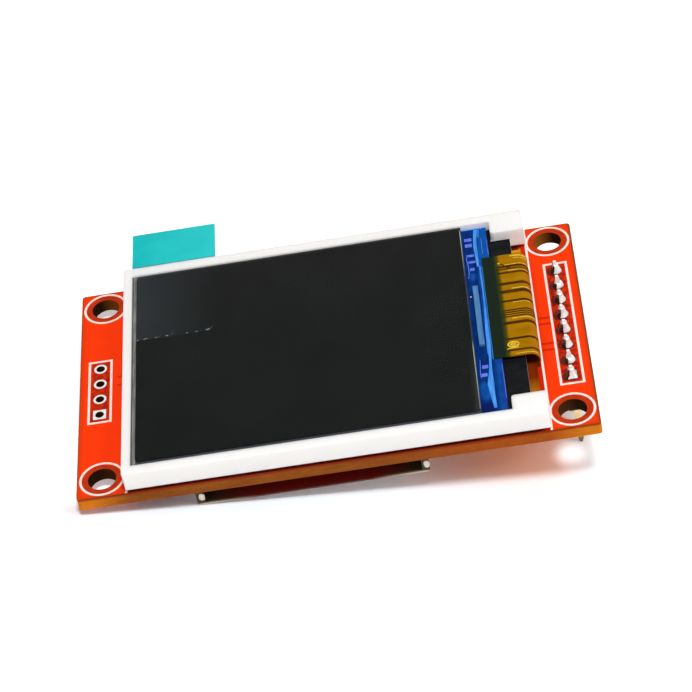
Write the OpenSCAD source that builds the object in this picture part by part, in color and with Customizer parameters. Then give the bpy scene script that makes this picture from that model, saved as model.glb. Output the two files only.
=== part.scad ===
// Colour TFT display module: a small screen stuck to a circuit board, with a card socket on the
// board's back and a soldered pin header at one end.
// Origin: centre of the four mounting holes, on the board's back face. +Z leaves the screen and
// +X runs along the board towards the pin header. All sizes are in millimetres.

/* [Board] */
// Length of bare board past each end of the display
board_end_l = 5.5; // [5:0.1:9]
// Width of the circuit board
board_w = 34; // [33.6:0.2:38]
// Thickness of the circuit board
board_t = 1.6; // [1.0:0.1:2.4]
// Corner radius of the circuit board
board_corner_r = 0.4; // [0.1:0.1:1.2]
// Diameter of the mounting holes
mount_hole_d = 3.2; // [2.2:0.1:3.4]
// Distance from the board's end to a mounting hole
mount_inset_x = 2.85; // [2.75:0.05:2.95]
// Distance from the board's long edge to a mounting hole
mount_inset_y = 2.75; // [2.7:0.05:3.0]

/* [Printed ink] */
// Thickness of the printed lines
ink_t = 0.03; // [0.02:0.01:0.03]
// Width of the printed lines
ink_line = 0.26; // [0.15:0.01:0.3]
// Radius of the printed ring round each mounting hole, to the line's middle
ring_r = 2.45; // [2.2:0.05:2.5]

/* [Pads and header] */
// Spacing of the header pins and of the plated holes
pitch = 2.54; // [2.5:0.01:2.6]
// Number of pins in the soldered header
main_count = 8; // [2:1:8]
// Number of plated holes left open at the other end
side_count = 4; // [2:1:6]
// Distance from the board's end to a row of holes
row_inset = 2.4; // [2.3:0.05:2.5]
// Finished diameter of a plated hole
plated_d = 1.0; // [0.96:0.01:1.1]
// Outer diameter of a solder pad
pad_d = 1.5; // [1.4:0.05:1.7]
// Thickness of every tinned pad
pad_t = 0.04; // [0.04:0.01:0.06]
// Width of a square header pin
pin_sq = 0.64; // [0.5:0.01:0.66]
// Height of a header pin's tip above the board's front
pin_above = 1.45; // [1.2:0.05:2]
// Length of a header pin below its housing
pin_below = 6.0; // [4:0.5:8]
// Height of the header's plastic housing
housing_h = 2.5; // [2:0.1:3]
// Height of the solder on a header pin
solder_h = 1.2; // [0.8:0.05:1.2]

/* [Display] */
// Length of the display's white frame
display_l = 47; // [46:0.2:48]
// Width of the display's white frame
display_w = 34.4; // [33:0.2:35]
// Offset of the display from the board's middle, along the board
display_x = 0.1; // [-0.5:0.1:0.8]
// Thickness of the foam tape between the board and the display
foam_t = 0.6; // [0.4:0.05:1.0]
// Width of the frame's long rails beside the glass
rail_w = 1.3; // [1.0:0.1:1.6]
// Width of the frame's end rail beside the glass
end_rail_w = 1.0; // [0.8:0.1:1.4]
// Length of the frame's two arms beside the flex circuit
arm_l = 3.85; // [3.7:0.05:4.2]
// Width of each arm
arm_w = 3.45; // [3.0:0.05:3.8]
// Radius of the corner where an arm widens
arm_corner_r = 0.4; // [0.2:0.1:0.6]
// Height of the frame's sill, which holds the backlight
sill_h = 1.05; // [0.9:0.05:1.4]
// Length of the sill that holds the lamps
sill_l = 3.0; // [2.7:0.1:3.2]
// How far the sill reaches past the glass seat, between the arms
sill_reach = 2.15; // [1.9:0.05:2.2]
// Width of the shoulder that carries the glass round the light guide
shoulder_w = 0.9; // [0.6:0.1:1.2]
// Thickness of each of the two sheets of glass
glass_t = 0.5; // [0.3:0.05:0.7]
// Length of the bare glass ledge past the upper sheet
ledge_l = 2.9; // [2.8:0.05:3.1]
// Gap between the lower glass and the arms
ledge_gap = 0.45; // [0.3:0.05:0.6]
// Thickness of the front polarizer
polarizer_t = 0.2; // [0.1:0.02:0.3]
// Bare border of glass round the front polarizer
polarizer_border = 0.5; // [0.3:0.05:0.8]
// Corner radius of the front polarizer
polarizer_r = 0.45; // [0.2:0.05:0.8]
// Border of glass round the picture area
picture_border = 1.85; // [1.2:0.05:3]
// Thickness of the black shield tape and of the rear polarizer
shield_t = 0.1; // [0.06:0.01:0.15]
// Thickness of the reflector and of each light film
film_t = 0.1; // [0.06:0.01:0.12]
// Number of backlight lamps
lamp_count = 3; // [2:1:4]
// Spacing of the backlight lamps
lamp_pitch = 7; // [5:0.5:7.5]
// Width of a backlight lamp
lamp_w = 3.0; // [2.4:0.1:3.4]
// Depth of a backlight lamp
lamp_d = 1.2; // [0.8:0.1:1.4]
// Height of a backlight lamp
lamp_h = 0.6; // [0.4:0.05:0.6]
// Length of the driver chip
chip_l = 10; // [8:0.5:14]
// Width of the driver chip
chip_w = 0.6; // [0.5:0.05:0.75]
// Height of the driver chip
chip_h = 0.3; // [0.2:0.02:0.35]

/* [Protective film] */
// Thickness of the protective film on the screen
cover_film_t = 0.05; // [0.03:0.01:0.08]
// Width of the pull tab
tab_w = 9.9; // [8:0.1:12]
// Length of the pull tab that is stuck to the screen
tab_stuck_l = 13; // [10:0.5:16]
// Length of the pull tab past the display's edge
tab_free_l = 5.9; // [4:0.1:8]
// Thickness of the pull tab
tab_t = 0.1; // [0.06:0.01:0.15]

/* [Flex circuit] */
// Thickness of the flex circuit
flex_t = 0.12; // [0.08:0.01:0.15]
// Width of the flex circuit where it is bonded to the glass
flex_bond_w = 17.2; // [14:0.1:20]
// Offset of the bonded part from the display's middle
flex_bond_y = 1.7; // [-1:0.1:2]
// Gap between the flex circuit and the frame's arms, at each side
flex_side_gap = 0.35; // [0.2:0.05:1]
// Width of the flex circuit's soldered tail
flex_tail_w = 12.6; // [12:0.1:14]
// Length of flex circuit that lies on the glass ledge
flex_bond_l = 0.9; // [0.6:0.05:1.2]
// Length of the wide part of the flex circuit, from the bend
flex_wide_l = 9.5; // [6:0.5:11]
// Length of the narrower tail past the wide part
flex_tail_l = 4.5; // [3:0.5:8]
// Number of soldered contacts on the flex circuit's tail
flex_pad_count = 14; // [8:1:15]
// Spacing of those contacts
flex_pad_pitch = 0.8; // [0.7:0.01:0.8]

/* [Card socket] */
// Width of the card socket
socket_w = 26; // [25.8:0.1:27]
// Length of the socket's metal shell
shell_l = 22.5; // [20:0.5:23]
// Length of the whole socket, without its tails
socket_l = 26.5; // [26:0.1:27]
// Height of the card socket
socket_h = 2.8; // [2.7:0.05:3.2]
// Offset of the socket from the board's middle, along the board
socket_x = -3.25; // [-4:0.05:-3]
// Distance from the board's front edge to the socket's mouth
socket_inset = 1.0; // [0.5:0.1:1.5]
// Thickness of the shell's sheet metal
shell_t = 0.2; // [0.15:0.01:0.25]
// Width of the card slot
slot_w = 24.3; // [24.1:0.05:24.4]
// Width of the ledge that carries the card at each side
card_ledge_w = 1.6; // [1.0:0.1:2.0]
// Height of that ledge above the board
card_ledge_h = 0.35; // [0.3:0.01:0.4]
// Number of card contacts
contact_count = 9; // [6:1:9]
// Spacing of the card contacts
contact_pitch = 2.5; // [2.3:0.05:2.5]
// Distance from the last contact to the one before it
contact_last = 1.7; // [1.5:0.1:2.5]
// Width of a card contact
contact_w = 0.8; // [0.6:0.05:1.0]
// Thickness of the contact metal
contact_t = 0.15; // [0.1:0.01:0.2]

/* [Hidden] */
$fn = 48;

fit = 0.05;          // clearance between a sheet and the pocket that it lies in
eps = 0.5;           // how far a cutting tool runs past the face that it cuts

// Board
board_l = display_l + 2 * board_end_l;
board_x1 = board_l / 2;
board_y1 = board_w / 2;
hole_x = board_x1 - mount_inset_x;
hole_y = board_y1 - mount_inset_y;
row_x = board_x1 - row_inset;
pin_tip_l = 0.8;     // length of the taper at each end of a pin
notch = 0.5;         // notch between two pins' blocks in the housing

// Heights of the display's layers
display_z = board_t + foam_t;
sill_z = display_z + sill_h;
lower_glass_z = sill_z + shield_t;
ledge_z = lower_glass_z + glass_t;
polarizer_z = ledge_z + glass_t;
frame_z = polarizer_z + polarizer_t;
guide_z = display_z + film_t;
guide_t = sill_h - 4 * film_t;
strip_z = sill_z - film_t;

// Plan of the display
display_x0 = display_x - display_l / 2;
display_x1 = display_x + display_l / 2;
frame_corner_r = 0.3;
seat_x0 = display_x0 + end_rail_w;
seat_x1 = display_x1 - arm_l;
seat_w = display_w - 2 * rail_w;
bay_w = display_w - 2 * arm_w;
sill_x1 = seat_x1 + sill_reach;
cavity_x0 = seat_x0 + shoulder_w;
cavity_x1 = sill_x1 - sill_l;
cavity_w = seat_w - 2 * shoulder_w;
ear_l = 3;           // locating ears of the light guide, one at each side
ear_w = 0.4;
ear_x = cavity_x0 + 4;
glass_x0 = seat_x0 + fit;
glass_x1 = seat_x1 - ledge_gap;
glass_w = seat_w - 2 * fit;
upper_x1 = glass_x1 - ledge_l;
polarizer_end = 0.15; // bare glass past the front polarizer, at the ledge
picture_x = (glass_x0 + upper_x1) / 2;
window_margin = 0.3; // bare border between the picture area and the shield tape's window
window_l = upper_x1 - glass_x0 - 2 * (picture_border - window_margin);
window_w = glass_w - 2 * (picture_border - window_margin);
chip_gap = 0.6;      // between the upper glass and the driver chip
chip_x = upper_x1 + chip_gap + chip_w / 2;
chip_y = 0.5;
tape_w = 4;          // width of each strip of foam tape
tape_y = display_w / 2 - shoulder_w - rail_w - tape_w / 2 + 0.5;
tape_inset = 1.4;    // from the frame's seat to the end of each strip
tape_x0 = seat_x0 + tape_inset;
tape_l = 29;

// Flex circuit
flex_low_z = board_t + pad_t;
bend_r = (ledge_z + flex_t - flex_low_z) / 2;
bend_x = display_x1 - fit - bend_r;
bend_z = flex_low_z + bend_r;
flex_x0 = glass_x1 - flex_bond_l;
flex_wide_w = bay_w - 2 * flex_side_gap;
flare_turn = 30;     // how far the wide part follows the bend upwards, in degrees
wide_x0 = bend_x - flex_wide_l;
tail_x0 = wide_x0 - flex_tail_l;
tail_r = 1.2;        // radius where the tail widens
flex_pad_l = 2.2;
flex_pad_w = flex_pad_pitch * 0.6;
flex_pad_bare = 0.9; // bare length of each pad, past the flex circuit's end
flex_solder_h = 0.14; // how far the solder stands above the flex circuit
flex_pad_x0 = tail_x0 - flex_pad_bare;

// Card socket, in its own frame: mouth at y = 0, board at z = 0 and roof at z = socket_h
socket_y0 = -board_y1 + socket_inset;
wall_x = socket_w / 2;
inner_x = wall_x - shell_t;
slot_x = slot_w / 2;
roof_z = socket_h - shell_t;
block_y0 = shell_l - 1.5;
block_h = roof_z - 0.5;   // height of the plastic block behind the shell
shell_corner_r = 0.4;
foot_l = 0.9;        // how far a soldered foot stands out from the shell
foot_w = 2.2;
foot_ys = [1.2, shell_l - 4];
lug_y = 14;          // snap lug on each rail, which fills a window in the shell
lug_l = 2.4;
lug_h = 0.9;
finger_l = 7;        // spring fingers cut into the shell's roof
finger_w = 3.2;
finger_x = 6;
finger_y = 9;
finger_gap = 0.4;
finger_dip = 0.3;    // how far a finger bends into the slot
tail_l = 1.3;        // length of a contact's tail behind the block
contact_z = 0.55;    // height of a contact where it leaves the block
spring_l = 5.4;      // length of a contact's spring inside the socket
spring_rise = 0.75;  // how far the spring climbs towards the card
tip_l = 0.6;         // length of the spring's turned-down tip, and of the flat before it
leaf_z0 = 0.9;       // lower and upper edge of a switch's leaf
leaf_z1 = 1.9;
leaf_l = 6;          // length of a leaf, from the block
leaf_bump = 0.9;     // how far a leaf stands into the slot
leaf_x = slot_x + 0.3;
key_l = 3.6;         // corner that only a card put in the right way round will pass
contact_span = (contact_count - 2) * contact_pitch + contact_last;
function contact_x(i) =
    (i < contact_count - 1 ? i * contact_pitch : contact_span) - contact_span / 2;

// Small parts on the board's back. A spot is [x, y, turn] of a part's middle.
regulator_size = [2.9, 1.3, 1.0];
regulator_x = row_x - 10.4;
regulator_y = board_y1 - 5.8;
regulator_spot = [regulator_x, regulator_y, 0];
lead_t = 0.12;
lead_w = 0.4;
lead_reach = 0.6;    // how far a lead stands out from the body
lead_pitch = 1.9;
standoff = 0.1;      // gap below the regulator's body
capacitor_size = [2.0, 1.25, 0.85];
capacitor_gap = 4;   // from the regulator's middle to that of each capacitor
capacitor_spots = [
    [regulator_x, regulator_y - capacitor_gap, 0],
    [regulator_x - capacitor_gap, regulator_y, 90],
    [regulator_x + capacitor_gap, regulator_y, 90]
];
resistor_size = [1.6, 0.8, 0.45];
resistor_pitch = 2;
resistor_spots = [for (i = [0 : 4]) [regulator_x - resistor_pitch * (1 - i), -regulator_y, 90]];
cap_l = 0.35;        // length of a chip's metal end
cap_t = 0.03;        // thickness of that metal
jumper_spot = [regulator_x + 5.4, regulator_y - capacitor_gap];
jumper_gap = 0.3;
jumper_d = 1.9;

function unit(v) = v / norm(v);
// Sideways direction at point i of a path, lengthened where the path turns
function side_way(path, i) =
    let (last = len(path) - 1,
         into = i == 0 ? unit(path[1] - path[0]) : unit(path[i] - path[i - 1]),
         out = i == last ? into : unit(path[i + 1] - path[i]),
         mid = unit(into + out))
    [-mid[1], mid[0]] / (mid * out);
// Outline of a strip of thickness t that follows a path of points
function strip(path, t) = concat(
    [for (i = [0 : len(path) - 1]) path[i] + side_way(path, i) * t / 2],
    [for (i = [len(path) - 1 : -1 : 0]) path[i] - side_way(path, i) * t / 2]);

// Box given by its lowest corner and its highest corner
module block(low, high) {
    translate(low) cube(high - low);
}

module rounded_rect(l, w, r) {
    square([l - 2 * r, w], center = true);
    square([l, w - 2 * r], center = true);
    for (sx = [-1, 1], sy = [-1, 1]) translate([sx * (l / 2 - r), sy * (w / 2 - r)]) circle(r);
}

// Sheet of thickness t from x0 to x1, centred on y = 0, with its lower face at z
module sheet(x0, x1, w, z, t, r) {
    translate([(x0 + x1) / 2, 0, z]) linear_extrude(t) rounded_rect(x1 - x0, w, r);
}

// Extrudes a profile drawn in [x, z] along +Y, from y0 to y1
module along_y(y0, y1) {
    translate([0, y1, 0]) rotate([90, 0, 0]) linear_extrude(y1 - y0) children();
}

// Extrudes a profile drawn in [y, z] along +X, from x0 to x1
module along_x(x0, x1) {
    translate([x0, 0, 0]) rotate([90, 0, 90]) linear_extrude(x1 - x0) children();
}

module at_mount_holes() {
    for (sx = [-1, 1], sy = [-1, 1]) translate([sx * hole_x, sy * hole_y, 0]) children();
}

function row_y(i, count) = (i - (count - 1) / 2) * pitch;

// Child 0 stands at the first place of a row of holes at x, and child 1 at all the others
module at_row(x, count) {
    for (i = [0 : count - 1]) translate([x, row_y(i, count), 0]) children(i == 0 ? 0 : $children - 1);
}

// Places a part that is drawn standing on z = 0 on the pads of the board's back
module on_back(spot) {
    translate([spot[0], spot[1], -pad_t]) mirror([0, 0, 1]) rotate([0, 0, spot[2]]) children();
}

// ---- Board ----

module circuit_board() {
    color("orangered") difference() {
        linear_extrude(board_t) rounded_rect(board_l, board_w, board_corner_r);
        at_mount_holes() hole(mount_hole_d);
        at_row(row_x, main_count) hole(plated_d);
        at_row(-row_x, side_count) hole(plated_d);
    }
}

// Cutter for a hole through the board and the pads on both of its faces
module hole(d) {
    translate([0, 0, -eps]) cylinder(h = board_t + 2 * eps, d = d);
}

module ink_ring() {
    difference() {
        circle(ring_r + ink_line / 2);
        circle(ring_r - ink_line / 2);
    }
}

module ink_box(l, w) {
    difference() {
        square([l + ink_line, w + ink_line], center = true);
        square([l - ink_line, w - ink_line], center = true);
    }
}

// What both faces of the board have printed: rings round the holes and boxes round the rows
module ink_marks() {
    at_mount_holes() ink_ring();
    translate([row_x, 0]) ink_box(pitch, main_count * pitch);
    translate([-row_x, 0]) ink_box(pitch, side_count * pitch);
}

module front_ink() {
    color("white") translate([0, 0, board_t]) linear_extrude(ink_t) {
        ink_marks();
        for (x = [display_x0, display_x1]) translate([x, 0]) square([ink_line, board_w], center = true);
    }
}

// Boxes round the small parts on the back
module back_ink() {
    color("white") translate([0, 0, -ink_t]) linear_extrude(ink_t) {
        ink_marks();
        for (spot = capacitor_spots) chip_box(spot, capacitor_size);
        for (spot = resistor_spots) chip_box(spot, resistor_size);
    }
}

module chip_box(spot, size) {
    translate([spot[0], spot[1]]) rotate(-spot[2]) ink_box(size[0] + 1.4, size[1] + 0.7);
}

// A pad round a plated hole on each face of the board, square or round. The hole's thin plating
// belongs to the board.
module ring_pads(square_pad) {
    difference() {
        for (z = [-pad_t, board_t]) translate([0, 0, z]) linear_extrude(pad_t) {
            if (square_pad) square(pad_d, center = true);
            else circle(d = pad_d);
        }
        hole(plated_d);
    }
}

module side_pads() {
    color("silver") at_row(-row_x, side_count) {
        ring_pads(true);
        ring_pads(false);
    }
}

module header_pads() {
    color("silver") at_row(row_x, main_count) {
        ring_pads(true);
        ring_pads(false);
    }
}

// ---- Pin header ----

// Plastic strip with a notch at each side between two pins
module header_housing() {
    color([0.09, 0.09, 0.1]) difference() {
        translate([row_x, 0, -pad_t - housing_h]) linear_extrude(housing_h) {
            for (i = [0 : main_count - 1]) translate([0, row_y(i, main_count)]) polygon([
                [pitch / 2 - notch, -pitch / 2], [pitch / 2, -pitch / 2 + notch],
                [pitch / 2, pitch / 2 - notch], [pitch / 2 - notch, pitch / 2],
                [-pitch / 2 + notch, pitch / 2], [-pitch / 2, pitch / 2 - notch],
                [-pitch / 2, -pitch / 2 + notch], [-pitch / 2 + notch, -pitch / 2]
            ]);
        }
        at_row(row_x, main_count) pin_bar();
    }
}

// The pin's plain square bar, also the hole that it stands in
module pin_bar() {
    block([-pin_sq / 2, -pin_sq / 2, -pad_t - housing_h - pin_below + pin_tip_l],
          [pin_sq / 2, pin_sq / 2, board_t + pin_above - pin_tip_l]);
}

// Side view of a pin: a bar with a taper at each end
module pin_side() {
    low = -pad_t - housing_h - pin_below;
    high = board_t + pin_above;
    tip = pin_sq / 4;
    polygon([
        [-tip, low], [tip, low], [pin_sq / 2, low + pin_tip_l], [pin_sq / 2, high - pin_tip_l],
        [tip, high], [-tip, high], [-pin_sq / 2, high - pin_tip_l], [-pin_sq / 2, low + pin_tip_l]
    ]);
}

module pin() {
    intersection() {
        along_y(-pin_sq, pin_sq) pin_side();
        along_x(-pin_sq, pin_sq) pin_side();
    }
}

module header_pins() {
    color("gold") at_row(row_x, main_count) pin();
}

// Solder that fills the plated hole and climbs the pin in a hollow-sided cone
module solder_cone() {
    neck_r = pin_sq * 0.75;
    rise = solder_h - pad_t;
    difference() {
        rotate_extrude() polygon(concat(
            [[0, -pad_t], [plated_d / 2, -pad_t], [plated_d / 2, board_t + pad_t]],
            [for (a = [0 : 15 : 90]) [
                pad_d / 2 - (pad_d / 2 - neck_r) * sin(a),
                board_t + pad_t + rise * (1 - cos(a))
            ]],
            [[0, board_t + solder_h]]
        ));
        pin();
    }
}

module header_solder() {
    color("silver") at_row(row_x, main_count) solder_cone();
}

// ---- Display ----

// Two strips of foam that hold the display on the board
module mounting_tape() {
    color("black") for (sy = [-1, 1])
        translate([tape_x0 + tape_l / 2, sy * tape_y, board_t]) linear_extrude(foam_t)
            rounded_rect(tape_l, tape_w, 0.2);
}

// Outline of the light guide and of the sheets above and below it
module guide_outline(gap) {
    translate([(cavity_x0 + cavity_x1) / 2, 0])
        square([cavity_x1 - cavity_x0 - 2 * gap, cavity_w - 2 * gap], center = true);
    translate([ear_x, 0]) square([ear_l - 2 * gap, cavity_w + 2 * ear_w - 2 * gap], center = true);
}

module guide_sheet(z, t) {
    translate([0, 0, z]) linear_extrude(t) guide_outline(fit);
}

// Cutter that rounds the corner at the origin of a body lying towards +X and +Y
module corner_cut(r) {
    difference() {
        translate([-eps, -eps]) square(r + eps);
        translate([r, r]) circle(r);
    }
}

// Plan of the frame's full-height walls, with an arm at each side of the open end
module wall_outline() {
    difference() {
        translate([display_x, 0]) rounded_rect(display_l, display_w, frame_corner_r);
        translate([(seat_x0 + seat_x1) / 2, 0]) square([seat_x1 - seat_x0, seat_w], center = true);
        translate([seat_x1 - eps, -bay_w / 2]) square([arm_l + 2 * eps, bay_w]);
        for (sy = [0, 1]) mirror([0, sy]) translate([seat_x1, bay_w / 2]) corner_cut(arm_corner_r);
    }
}

// Places of the backlight lamps across the display
module at_lamps() {
    for (i = [0 : lamp_count - 1])
        translate([cavity_x1, (i - (lamp_count - 1) / 2) * lamp_pitch, strip_z - lamp_h]) children();
}

module display_frame() {
    color("white") difference() {
        union() {
            translate([0, 0, display_z]) linear_extrude(frame_z - display_z) wall_outline();
            block([seat_x0 - eps, -bay_w / 2, display_z], [sill_x1, bay_w / 2, sill_z]);
            block([seat_x0 - eps, -seat_w / 2 - eps, display_z], [seat_x1 + eps, seat_w / 2 + eps, sill_z]);
        }
        translate([0, 0, display_z - eps]) linear_extrude(sill_h + 2 * eps) guide_outline(0);
        at_lamps() block([-eps, -lamp_w / 2 - fit, 0], [lamp_d + fit, lamp_w / 2 + fit, lamp_h + 2 * eps]);
        lamp_strip_space();
    }
}

// Recess in the sill for the strip that carries the lamps
module lamp_strip_space() {
    block([cavity_x1, -lamp_count * lamp_pitch / 2 - fit, strip_z],
          [cavity_x1 + lamp_d + 0.6 + fit, lamp_count * lamp_pitch / 2 + fit, sill_z + eps]);
}

module lamp_strip() {
    color("goldenrod") block([cavity_x1, -lamp_count * lamp_pitch / 2, strip_z],
                             [cavity_x1 + lamp_d + 0.6, lamp_count * lamp_pitch / 2, sill_z]);
}

module backlight_lamps() {
    color("lightyellow") at_lamps() along_x(0, lamp_d) polygon([
        [-lamp_w / 2, 0.1], [-lamp_w / 2 + 0.1, 0], [lamp_w / 2 - 0.1, 0],
        [lamp_w / 2, 0.1], [lamp_w / 2, lamp_h], [-lamp_w / 2, lamp_h]
    ]);
}

module reflector_sheet() {
    color("white") guide_sheet(display_z, film_t);
}

module light_guide() {
    color("lightcyan") guide_sheet(guide_z, guide_t);
}

module diffuser_sheet() {
    color("whitesmoke") guide_sheet(guide_z + guide_t, film_t);
}

module lower_prism_sheet() {
    color("lightgray") guide_sheet(guide_z + guide_t + film_t, film_t);
}

module upper_prism_sheet() {
    color("gainsboro") guide_sheet(guide_z + guide_t + 2 * film_t, film_t);
}

module window_outline(gap) {
    translate([picture_x, 0]) square([window_l - 2 * gap, window_w - 2 * gap], center = true);
}

// Black tape that holds the glass and hides the lamps, with a window for the light
module shield_tape() {
    color([0.08, 0.08, 0.1]) translate([0, 0, sill_z]) linear_extrude(shield_t) difference() {
        union() {
            translate([seat_x0 + fit, -seat_w / 2 + fit])
                square([seat_x1 - seat_x0 - 2 * fit, seat_w - 2 * fit]);
            translate([seat_x0 + fit, -bay_w / 2 + fit])
                square([sill_x1 - seat_x0 - fit, bay_w - 2 * fit]);
        }
        window_outline(0);
    }
}

module rear_polarizer() {
    color("dimgray") translate([0, 0, sill_z]) linear_extrude(shield_t) window_outline(fit);
}

module lower_glass() {
    color([0.05, 0.2, 0.55]) block([glass_x0, -glass_w / 2, lower_glass_z], [glass_x1, glass_w / 2, ledge_z]);
}

module upper_glass() {
    color([0.12, 0.14, 0.15]) block([glass_x0, -glass_w / 2, ledge_z], [upper_x1, glass_w / 2, polarizer_z]);
}

module front_polarizer() {
    color([0.14, 0.15, 0.16]) sheet(glass_x0 + polarizer_border, upper_x1 - polarizer_end,
        glass_w - 2 * polarizer_border, polarizer_z, polarizer_t, polarizer_r);
}

module driver_chip() {
    color("lightsteelblue") translate([chip_x, chip_y, ledge_z]) linear_extrude(chip_h)
        square([chip_w, chip_l], center = true);
}

// ---- Flex circuit ----

// Side view of the flex circuit from its tail to the bend, and round it through turn degrees
function flex_path(x0, turn) = concat(
    [[x0, flex_low_z + flex_t / 2]],
    [for (a = [0 : 10 : turn]) [
        bend_x + (bend_r - flex_t / 2) * sin(a),
        bend_z - (bend_r - flex_t / 2) * cos(a)
    ]]);

// The soldered tail widens below the display. The wide part follows the foot of the bend, and
// only its middle goes right round and on to the glass.
module flex_circuit() {
    color("goldenrod") {
        translate([0, 0, flex_low_z]) linear_extrude(flex_t) tail_outline();
        along_y(-flex_wide_w / 2, flex_wide_w / 2) polygon(strip(flex_path(wide_x0, flare_turn), flex_t));
        along_y(flex_bond_y - flex_bond_w / 2, flex_bond_y + flex_bond_w / 2)
            polygon(strip(concat(flex_path(wide_x0, 180), [[flex_x0, ledge_z + flex_t / 2]]), flex_t));
    }
}

module tail_outline() {
    translate([tail_x0, -flex_tail_w / 2]) square([wide_x0 - tail_x0 + eps, flex_tail_w]);
    for (sy = [0, 1]) mirror([0, sy]) translate([wide_x0, flex_tail_w / 2]) difference() {
        translate([-tail_r, -eps]) square([tail_r + eps, tail_r + eps]);
        translate([-tail_r, tail_r]) circle(tail_r);
    }
}

module at_flex_pads() {
    for (i = [0 : flex_pad_count - 1])
        translate([flex_pad_x0, (i - (flex_pad_count - 1) / 2) * flex_pad_pitch, board_t]) children();
}

module flex_pads() {
    color("silver") at_flex_pads() block([0, -flex_pad_w / 2, 0], [flex_pad_l, flex_pad_w / 2, pad_t]);
}

// A fillet of solder on each pad, against the end of the flex circuit and over its edge
module flex_solder() {
    reach = tail_x0 - flex_pad_x0;
    top = flex_t + flex_solder_h;
    color("silver") at_flex_pads() translate([0, 0, pad_t]) along_y(-flex_pad_w / 2, flex_pad_w / 2)
        polygon([[0.1, 0], [reach, 0], [reach, flex_t], [flex_pad_l - 0.3, flex_t],
                 [flex_pad_l - 0.6, top * 0.8], [reach + 0.3, top], [reach * 0.5, top * 0.6]]);
}

// ---- Protective film ----

module protective_film() {
    color([0.5, 0.55, 0.57]) sheet(glass_x0, upper_x1, glass_w, frame_z, cover_film_t, 0.5);
}

module pull_tab() {
    tab_y0 = display_w / 2 - tab_stuck_l;
    tab_y1 = display_w / 2 + tab_free_l;
    color("lightseagreen") translate([glass_x0 + tab_w / 2, (tab_y0 + tab_y1) / 2, frame_z + cover_film_t])
        linear_extrude(tab_t) rounded_rect(tab_w, tab_y1 - tab_y0, 0.15);
}

// ---- Card socket ----

// Draws in the socket's own frame
module in_socket() {
    on_back([socket_x, socket_y0, 0]) children();
}

// Arch with rounded upper corners, standing on z = 0
module arch(w, h, r) {
    translate([-w / 2, 0]) square([w, h - r]);
    translate([-w / 2 + r, 0]) square([w - 2 * r, h]);
    for (sx = [-1, 1]) translate([sx * (w / 2 - r), h - r]) circle(r);
}

module both_sides() {
    for (sx = [0, 1]) mirror([sx, 0, 0]) children();
}

// Opening in the roof round a spring finger
module finger_window() {
    block([finger_x - finger_w / 2 - finger_gap, finger_y - finger_gap, roof_z - eps],
          [finger_x + finger_w / 2 + finger_gap, finger_y + finger_l, socket_h + eps]);
}

// Spring finger: it leaves the roof at its root, dips into the slot and turns up at its tip
module finger() {
    z = roof_z + shell_t / 2;
    translate([finger_x, 0, 0]) along_x(-finger_w / 2, finger_w / 2) polygon(strip([
        [finger_y + finger_l + 0.1, z], [finger_y + finger_l - 0.6, z],
        [finger_y + 1.2, z - finger_dip], [finger_y, z - finger_dip / 3]
    ], shell_t));
}

// Folded sheet: roof, two walls, a flange at each side of the mouth, and four soldered feet
module socket_shell() {
    color("silver") in_socket() {
        difference() {
            along_y(0, shell_l) difference() {
                arch(socket_w, socket_h, shell_corner_r);
                translate([-inner_x, -eps]) square([2 * inner_x, roof_z + eps]);
            }
            both_sides() {
                finger_window();
                translate([0, lug_y, roof_z / 2 - lug_h / 2])
                    block([inner_x - eps, -fit, -fit], [wall_x + eps, lug_l + fit, lug_h + fit]);
            }
        }
        both_sides() {
            finger();
            block([slot_x, 0, 0], [inner_x + shell_t / 2, shell_t, roof_z + shell_t / 2]);
            for (y = foot_ys) block([inner_x, y, 0], [wall_x + foot_l, y + foot_w, shell_t]);
        }
    }
}

// Moulded part: two rails with a ledge for the card, and a block that holds the contacts
module socket_base() {
    color([0.1, 0.1, 0.11]) in_socket() difference() {
        union() {
            both_sides() {
                block([slot_x, shell_t, 0], [inner_x, block_y0 + eps, roof_z]);
                block([slot_x - card_ledge_w, shell_t, 0], [slot_x + fit, block_y0 + eps, card_ledge_h]);
                block([slot_x + fit, lug_y, roof_z / 2 - lug_h / 2],
                      [wall_x, lug_y + lug_l, roof_z / 2 + lug_h / 2]);
            }
            block([-inner_x, block_y0, 0], [inner_x, shell_l, roof_z]);
            block([-inner_x, shell_l - eps, 0], [inner_x, socket_l, block_h]);
            linear_extrude(roof_z) polygon([
                [slot_x - key_l, block_y0 + fit],
                [slot_x + fit, block_y0 - key_l],
                [slot_x + fit, block_y0 + fit]
            ]);
        }
        contact_row();
        switch_leaves();
        both_sides() block([slot_x - eps, block_y0 - leaf_l - eps, leaf_z0 - fit],
                           [leaf_x + contact_t, block_y0, leaf_z1 + fit]);
    }
}

// Side view of one contact: tail on the board, run through the block, spring and curled tip
module contact_side() {
    half = contact_t / 2;
    polygon(strip([
        [socket_l + tail_l, half], [socket_l + tail_l / 2, half], [socket_l + tail_l / 4, contact_z],
        [block_y0 - contact_t, contact_z], [block_y0 - spring_l + 2 * tip_l, contact_z + spring_rise],
        [block_y0 - spring_l + tip_l, contact_z + spring_rise],
        [block_y0 - spring_l, contact_z + spring_rise / 2]
    ], contact_t));
}

module contact_row() {
    for (i = [0 : contact_count - 1])
        translate([contact_x(i), 0, 0]) along_x(-contact_w / 2, contact_w / 2) contact_side();
}

module card_contacts() {
    color("gold") in_socket() contact_row();
}

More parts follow.
